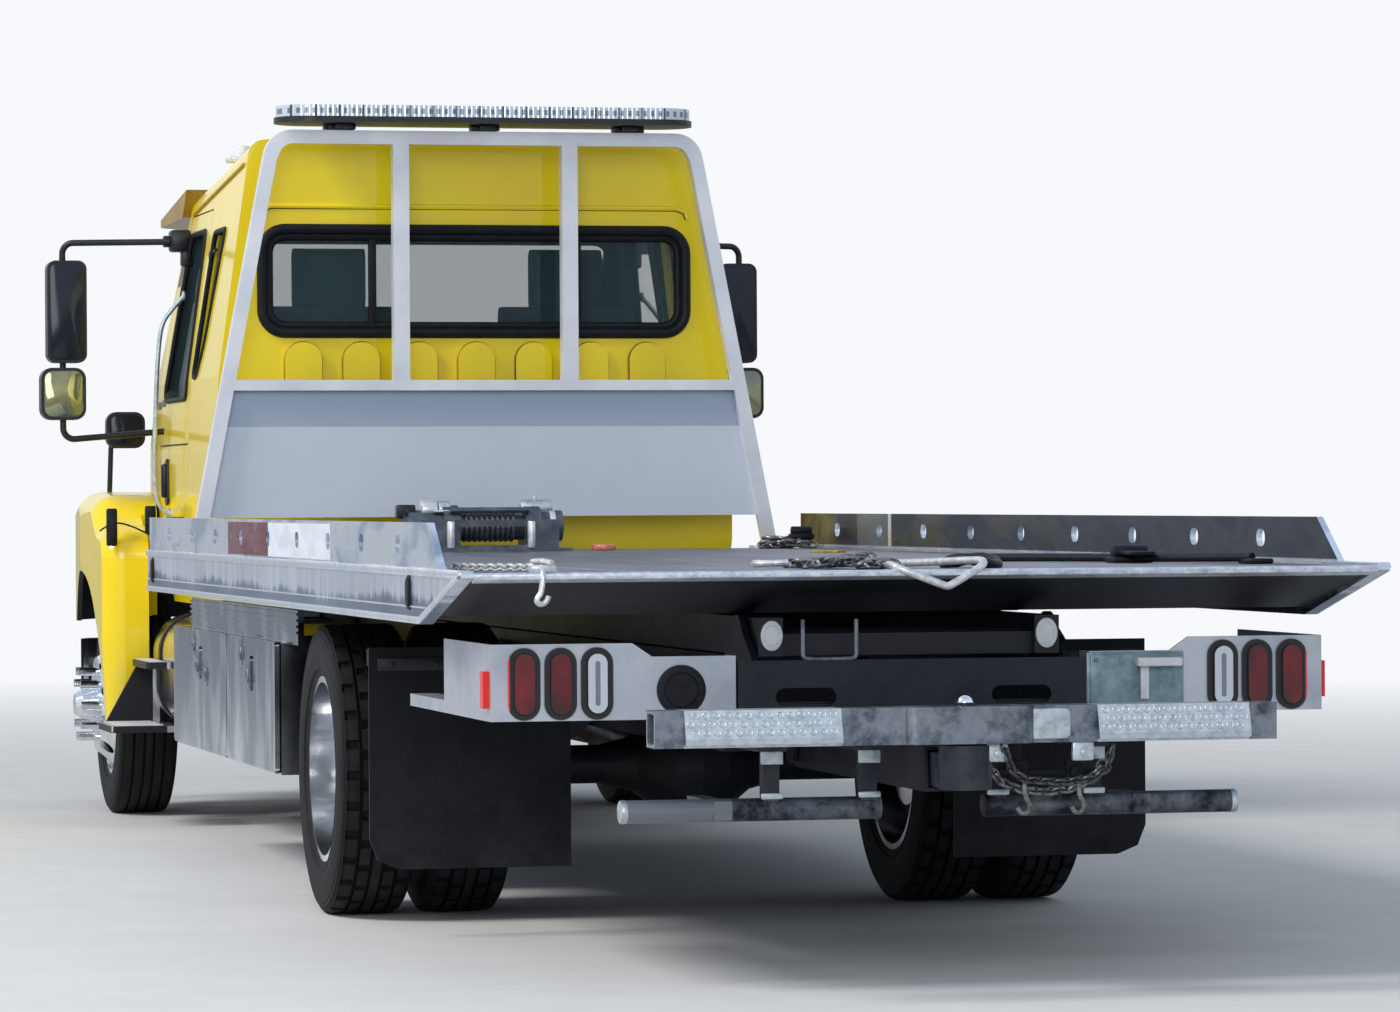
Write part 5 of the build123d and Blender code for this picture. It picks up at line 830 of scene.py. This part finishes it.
seat([block((1.095, -4.1, plate_top), (1.165, -3.98, 1.131), 0.006),
      block((0.845, -3.615, plate_top), (0.965, -3.515, 1.132), 0.005),
      disc((0.905, -3.565, 1.146), 0.021, 0.105, axis="X", bevel=0.004),
      block((0.868, -3.7, 1.138), (0.942, -3.56, 1.15), 0.004),
      rod(((0.62, -3.1, lying), (0.75, -3.3, 1.13), (0.93, -3.62, 1.129), (1.12, -4.04, 1.134)), 0.013)],
     "right_strap_end", "bed", rubber_blank)


# Cab and hood: moulded panels in bright yellow under clear lacquer, lined dark inside. The
# glass is tinted and held in black gaskets, the rear window in three sliding panes.
def cab_paint(name, centre):
    """Yellow outside and dark towards a point inside, with dirt that has run down low."""
    paint = Finish(name)
    fall = paint.level(paint.z * -1.0, -0.75, -0.35) * paint.noise(5.0, 7.0, 0.7)
    inside = paint.inner_side(centre)
    coat = paint.over((1.0, 0.78, 0.001), (paint.noise(1.6, 6.0, 0.6), (0.96, 0.7, 0.001)),
                      (fall * 0.25, (0.45, 0.36, 0.16)), (inside, (0.02, 0.021, 0.024)))
    return paint.surface(coat, 0.26 + 0.5 * inside, (paint.noise(160.0, 2.0, 0.5), 0.03, 0.0004),
                         Coat_Weight=0.55 - 0.55 * inside, Coat_Roughness=0.05)


cab_yellow = cab_paint("cab_yellow", (0, 2.9, 1.9))
dress(cab_yellow, "cab_shell", "door")
dress(cab_paint("hood_yellow", (0, 4.2, 0.9)), "hood")
window_glass = two_tone("window_glass", 2.0, (0.03, 0.085, 0.1), (0.04, 0.105, 0.12), 0.03, Alpha=0.26,
                        Specular_IOR_Level=0.6)
dress(window_glass, "cab_glass", "door_glass")
dress(black_plastic, "mirrors", "hood_mirrors", "dashboard", "steering_wheel")


def softened(outline, radius, steps=5):
    """An outline with its corners rounded."""
    corners = [Vector(point) for point in outline]
    points = []
    for before, corner, after in zip(corners[-1:] + corners[:-1], corners, corners[1:] + corners[:1]):
        start = corner + (before - corner).normalized() * radius
        end = corner + (after - corner).normalized() * radius
        for i in range(steps + 1):
            t = i / steps
            points.append(start.lerp(corner, t).lerp(corner.lerp(end, t), t))
    return points


cab_half, waist_z, waist_in, window_z, window_lean = 1.02, 1.5, 0.013, 1.79, 0.1406


def beside(s, outline, lift=0.0):
    """Points on the cab's side: upright, then a little in from its waist up, then leaning in."""
    places = []
    for y, z in outline:
        above_waist = min(max(z - waist_z, 0) / (window_z - waist_z), 1)
        out = cab_half - waist_in * above_waist - window_lean * max(z - window_z, 0)
        places.append((s * (out + lift), y, z))
    return places


rear_face = 1.87
rear_gasket = [hoop(on_plane("Y", rear_face - 0.002, rounded((-0.836, 1.957), (0.836, 2.357), 0.088, 8)), 0.021),
               hoop(on_plane("Y", rear_face + 0.008, rounded((-0.808, 1.985), (0.808, 2.329), 0.064, 8)), 0.016)]
for x in (-0.405, 0.405):
    rear_gasket.append(block((x - 0.015, rear_face - 0.002, 1.962), (x + 0.015, rear_face + 0.02, 2.352)))
for low_z, high_z in ((1.958, 1.99), (2.326, 2.356)):
    rear_gasket.append(block((-0.4, rear_face + 0.002, low_z), (0.4, rear_face + 0.018, high_z)))
seat(rear_gasket, "rear_window_gasket", "chassis", rubber_blank)
door_window = softened(((3.39, 1.72), (3.194, 2.395), (2.76, 2.395), (2.74, 1.72)), 0.06)
quarter_window = softened(((2.2, 2.375), (2.51, 2.375), (2.59, 1.8), (2.49, 1.8), (2.38, 1.93)), 0.036)
# Near black for the fender's seam, and as painted shade for the door's crease.
seam_and_crease_shade = two_tone("shut_line_and_crease_shade", 50.0, (0.006, 0.006, 0.006), (0.016, 0.015, 0.012), 0.8)
grab_y = 3.2
for side, s in flanks:
    door = f"door_{side}"
    seat(hoop(beside(s, door_window), 0.011, 2), f"door_window_gasket_{side}", door, rubber_blank)
    seat(hoop(beside(s, quarter_window), 0.01, 2), f"quarter_gasket_{side}", "chassis", rubber_blank)
    for name, body, outline in (
            ("door_black_edge", door, ((3.392, 1.7), (3.494, 1.7), (3.262, 2.4), (3.2, 2.4))),
            ("pillar_black", "chassis", ((3.525, 1.69), (3.7, 1.69), (3.362, 2.37), (3.3, 2.37)))):
        seat(sheet(beside(s, outline, 0.0025), (-s * 0.004, 0, 0)), f"{name}_{side}", body,
             black_plastic)
    seat([block((s * 0.905, 2.535, 2.268), (s * 0.945, 2.575, 2.3), 0.006),
          rod(((s * 0.93, 2.55, 2.286), (s * 0.935, 2.5, 2.298), (s * 0.932, 2.44, 2.302)), 0.007)],
         f"quarter_latch_{side}", "chassis", black_plastic)
    # The waist crease is drawn as a near-black line, painted shade in the crease.
    crease = rod(beside(s, [(y, 1.538) for y in (2.672, 2.95, 3.2, 3.478)], 0.0005), 0.0035, straight=True, sides=1)
    seat(crease, f"door_crease_shade_{side}", door, seam_and_crease_shade)
    handle = [flat(softened(((3.215, 1.305), (3.3, 1.29), (3.31, 1.47), (3.235, 1.488)), 0.022), 0.012, 0.004,
                   at=1.018), block((1.022, 3.238, 1.325), (1.05, 3.266, 1.462), 0.009, 3)]
    seat([turned_over(part, s) for part in handle], f"door_handle_{side}", door, black_plastic)
    grab = rod([(s * x, grab_y, z) for x, z in (
        (0.958, 2.15), (0.972, 2.135), (1.015, 2.085), (1.048, 2.04), (1.062, 1.96), (1.073, 1.8), (1.082, 1.56),
        (1.084, 1.4), (1.078, 1.32), (1.06, 1.285), (1.035, 1.262), (1.018, 1.255))], 0.0095)
    seat([grab] + [disc((s * x, grab_y, z), 0.02, 0.012, axis="X") for x, z in ((0.96, 2.15), (1.024, 1.262))],
         f"grab_bar_{side}", door, galvanised)


# Cab's rear wall and eaves: a moulded lip over the window, tall arched ribs below it and a
# drip rail down each side, the ribs' outlines and the drip rails drawn in dark ochre as painted shade.
painted_shade_ochre = two_tone("painted_shade_line", 40.0, (0.3, 0.19, 0.002), (0.48, 0.32, 0.004), 0.6)
rear_lip = rod(on_plane("Y", rear_face + 0.004, ((-0.845, 2.405), (-0.835, 2.432), (-0.8, 2.445), (0.8, 2.445),
                                                 (0.835, 2.432), (0.845, 2.405))), 0.012, straight=True)
seat(rear_lip, "rear_roof_lip", "chassis", cab_yellow)
# The ribs' outlines are dark ochre lines: painted shade round the pressed arches.
rib_half, rib_top_z, rib_foot_z, rib_pitch = 0.071, 1.92, 1.725, 0.226
arch = [((rib_half + 0.001) * cos(radians(a)), rib_top_z - rib_half + (rib_half + 0.001) * sin(radians(a)))
        for a in range(0, 181, 12)]
arch = [(arch[0][0], rib_foot_z)] + arch + [(arch[-1][0], rib_foot_z)]
seat([rod(on_plane("Y", rear_face - 0.0015, [(i * rib_pitch + x, z) for x, z in arch]), 0.0042, straight=True, sides=2)
      for i in range(-3, 4)], "rear_rib_shade_lines", "chassis", painted_shade_ochre)
# The drip rails take the same dark ochre: painted shade under the roof's edge.
eaves = [(y, 2.75 - 0.098 * (y - 1.85) - 0.135) for y in (1.93, 2.3, 2.7, 3.05, 3.215)]
for side, s in flanks:
    drip_rail = rod(beside(s, eaves, 0.001), 0.0085, straight=True)
    seat(drip_rail, f"drip_rail_{side}", "chassis", painted_shade_ochre)


# Roof: a white marker lamp on a base at the left, and a visor of smoked amber plastic over
# the windshield.
amber_plastic = two_tone("amber_plastic", 3.0, (0.4, 0.24, 0.03), (0.28, 0.16, 0.025), 0.22)
dress(amber_plastic, "sun_visor")
marker_lens = two_tone("marker_lens", 40.0, (0.86, 0.88, 0.92), (0.7, 0.73, 0.78), 0.2)
seat([disc((-0.8, 2.62, 2.7), 0.034, 0.052, axis="Z", bevel=0.012),
      block((-0.86, 2.56, 2.66), (-0.74, 2.68, 2.684), 0.008)], "roof_lamp", "chassis", marker_lens)


# Seats: dark woven cloth over foam, with headrests that show through the rear window. They
# are the CAD solids, dressed in cloth only.
cloth = Finish("seat_cloth")
weave = (cloth.x * 2600.0).sine() * (cloth.z * 2600.0).sine()
seat_cloth = cloth.surface(cloth.mix(cloth.noise(90.0), (0.018, 0.018, 0.021), (0.045, 0.045, 0.05)), 0.92,
                           (weave, 0.3, 0.0006))
dress(seat_cloth, "seats")


# Mirrors: black moulded heads with dark glass in the tall upper one and a domed glass in the
# lower one, on a black bracket clamped to the door's frame. The hood's mirror glass, seams and
# rubber latches are set in the same round of the two sides.
mirror_glass = two_tone("mirror_glass", 2.0, (0.006, 0.009, 0.02), (0.014, 0.018, 0.032), 0.12,
                        Specular_IOR_Level=0.3)
domed_glass = two_tone("domed_glass", 6.0, (0.16, 0.2, 0.2), (0.34, 0.34, 0.16), 0.06, Metallic=0.6)
for side, s in flanks:
    door = f"door_{side}"
    for name, body, x, z, half, corner, depth, bevel, y, glass in (
            ("mirror_glass", door, 1.416, 2.09, (0.07, 0.198), 0.028, 0.004, 0.0015, 3.3755, mirror_glass),
            ("domed_glass", door, 1.432, 1.753, (0.08, 0.094), 0.036, 0.006, 0.004, 3.3755, domed_glass),
            ("hood_mirror_glass", "hood", 1.07, 1.615, (0.07, 0.065), 0.034, 0.006, 0.004, 4.2425, mirror_glass)):
        seat(flat(oblong((s * x, z), half, corner), -depth, bevel, axis="Y", at=y), f"{name}_{side}", body,
             glass)
    seat([block((s * 0.925, 3.205, 2.33), (s * 1.01, 3.29, 2.42), 0.012),
          block((s * 0.915, 3.215, 2.27), (s * 0.965, 3.27, 2.345), 0.01),
          disc((s * 1.012, 3.245, 2.373), 0.024, 0.05, axis="X", bevel=0.005)],
         f"mirror_clamp_{side}", door, black_plastic)
    seam = rod([(s * x, 3.2745, z) for x, z in ((1.3, 1.19), (1.27, 1.212), (1.225, 1.226), (1.16, 1.206),
                                                (1.094, 1.172), (1.045, 1.15))], 0.004, sides=1)
    seat(seam, f"fender_seam_{side}", "hood", seam_and_crease_shade)
    for name, x, z0, z1 in (("outer", 1.252, 1.128, 1.282), ("inner", 1.094, 1.175, 1.292)):
        seat([block((s * x - 0.022, 3.246, z0), (s * x + 0.022, 3.274, z1), 0.008),
              block((s * x - 0.013, 3.238, z0 + 0.03), (s * x + 0.013, 3.25, z1 - 0.03), 0.004)],
             f"hood_latch_{name}_{side}", "hood", rubber_blank)


# Headlamps and wipers: clear fluted lenses over two bowls each, in a chromed bezel set in the
# nose, and two black wipers at the foot of the windshield.
clear = Finish("clear_lens")
bowl = clear.noise(9.0, 2.0, 0.5)
clear_lens = clear.surface(clear.mix(bowl, (0.74, 0.78, 0.84), (0.36, 0.4, 0.46)), 0.1,
                           ((clear.x * 300.0).sine(), 0.3, 0.0015), Metallic=0.35, Coat_Weight=0.8)
dress(clear_lens, "headlamps")
lamp_x, lamp_z = 0.64, 1.0
for side, s in flanks:
    bezel = hoop(on_plane("Y", 4.934, oblong((s * lamp_x, lamp_z), (0.135, 0.1), 0.045)), 0.009, 2)
    bowls = [disc((s * lamp_x + dx, 4.932, lamp_z), 0.062, 0.012, dish=0.006, outward=1) for dx in (-0.062, 0.062)]
    seat([bezel] + bowls, f"headlamp_bezel_{side}", "hood", chrome)
wipers = [rod(((x, 3.792, 1.64), (x - 0.1, 3.77, 1.7), (x - 0.3, 3.72, 1.8), (x - 0.46, 3.67, 1.88)), 0.008)
          for x in (0.1, 0.75)]
seat(wipers, "wipers", "chassis", black_plastic)


# Wheel lift: galvanised crossbar with two perforated treads, the arms' pads under it, a short
# chain with two hooks slung below, and the rack with its binders and chain under the tail.
zinc_bar = Finish("crossbar_zinc")
bar_spangle = zinc_bar.noise(40.0, 4.0, 0.6)
chafed = zinc_bar.noise(9.0, 7.0, 0.7, low=0.46, high=0.62)
off_tread = 1.0 - zinc_bar.between(abs(zinc_bar.x), 0.35, 0.772)
bar_base = zinc_bar.over((0.62, 0.66, 0.7), (bar_spangle, (0.4, 0.44, 0.49)),
                         (off_tread * (0.62 + 0.38 * chafed), (0.055, 0.07, 0.1)))
crossbar_zinc = zinc_bar.surface(bar_base, 0.3 + 0.2 * bar_spangle, (bar_spangle, 0.1, 0.001), Metallic=0.7)
dress(crossbar_zinc, "crossbar")
studs = []
tread_foot_y, tread_foot_z, tread_lean = -5.0295, 0.686, (0.76 - 0.686) / 0.021
for s in (-1, 1):
    for row, z in enumerate((0.7, 0.7225, 0.745)):
        for i in range(14):
            x = s * (0.372 + 0.0285 * i + 0.014 * (row % 2))
            y = tread_foot_y + (z - tread_foot_z) / tread_lean
            bpy.ops.mesh.primitive_torus_add(major_radius=0.0078, minor_radius=0.0022, major_segments=12,
                                             minor_segments=5, location=(x, y, z), rotation=(radians(74), 0, 0))
            bpy.ops.object.transform_apply(location=True, rotation=True, scale=True)
            studs.append(bpy.context.object)
seat(studs, "tread_studs", "crossbar", galvanised)
seat([hoop(on_plane("X", s * 0.846, oblong((-4.96, 0.711), (0.044, 0.044), 0.01)), 0.0045, 1) for s in (-1, 1)],
     "socket_rims", "crossbar", pale_steel)
bar_back = -5.004
pads = []
for x in (0.076, 0.313):
    pads.append(block((x - 0.03, bar_back, 0.612), (x + 0.03, -4.986, 0.664), 0.006))
    pads.append(disc((x, -5.006, 0.634), 0.01, 0.012, sides=6, bevel=0.001))
pads.append(flat(oblong((0.2, 0.712), (0.075, 0.04), 0.016), 0.007, 0.003, axis="Y", at=-5.014))
pads.append(disc((0.055, -5.013, 0.725), 0.02, 0.01, bevel=0.002, dish=0.003))
seat(pads, "crossbar_pads", "crossbar", galvanised)
arm_pads = []
for x in (-0.45, -0.18, 0.18, 0.45):
    for low_z, high_z in ((0.598, 0.64), (0.505, 0.522)):
        arm_pads.append(block((x - 0.031, -4.662, low_z), (x + 0.031, -4.6515, high_z), 0.004))
arm_pads += [disc((x, -4.63, 0.477), 0.032, 0.022, axis="X", bevel=0.006) for x in (-0.852, 0.852)]
seat(arm_pads, "arm_pads", "chassis", galvanised)
binder = []
for x in (0.225, 0.385):
    binder.append(block((x - 0.026, -4.7, 0.535), (x + 0.026, -4.672, 0.6), 0.008, 3))
    binder.append(disc((x, -4.704, 0.566), 0.017, 0.02, sides=20, bevel=0.004, dish=0.003))
    binder.append(block((x - 0.01, -4.692, 0.598), (x + 0.01, -4.676, 0.655)))
binder.append(block((0.15, -4.694, 0.56), (0.47, -4.68, 0.574), 0.004))
seat(binder, "arm_binders", "chassis", rubber_blank)
arm_line = ((0.13, -4.696, 0.6), (0.17, -4.712, 0.545), (0.23, -4.716, 0.52), (0.3, -4.716, 0.515),
            (0.37, -4.716, 0.522), (0.43, -4.71, 0.55), (0.47, -4.696, 0.6))
seat(chain(arm_line, 0.014), "arm_chain", "chassis", chain_steel)
sooty_steel = two_tone("sooty_steel", 50.0, (0.13, 0.135, 0.15), (0.035, 0.035, 0.04), 0.42, detail=5.0, spread=0.7,
                       Metallic=0.8)
low_line = ((0.095, bar_back, 0.65), (0.115, -5.006, 0.59), (0.15, -5.008, 0.565), (0.25, -5.008, 0.556),
            (0.34, -5.008, 0.566), (0.375, -5.006, 0.59), (0.395, bar_back, 0.65))
seat(chain(low_line, 0.0125, 0.0042), "lift_chain", "crossbar", sooty_steel)
hook_points = ((0, 0.555), (0, 0.52), (0.016, 0.5), (0.01, 0.478), (-0.012, 0.474), (-0.02, 0.492))
for number, x in (("one", 0.15), ("two", 0.299)):
    seat(rod(on_plane("Y", bar_back, [(x + dx, z) for dx, z in hook_points]), 0.0065), f"lift_hook_{number}",
         "crossbar", chain_steel)
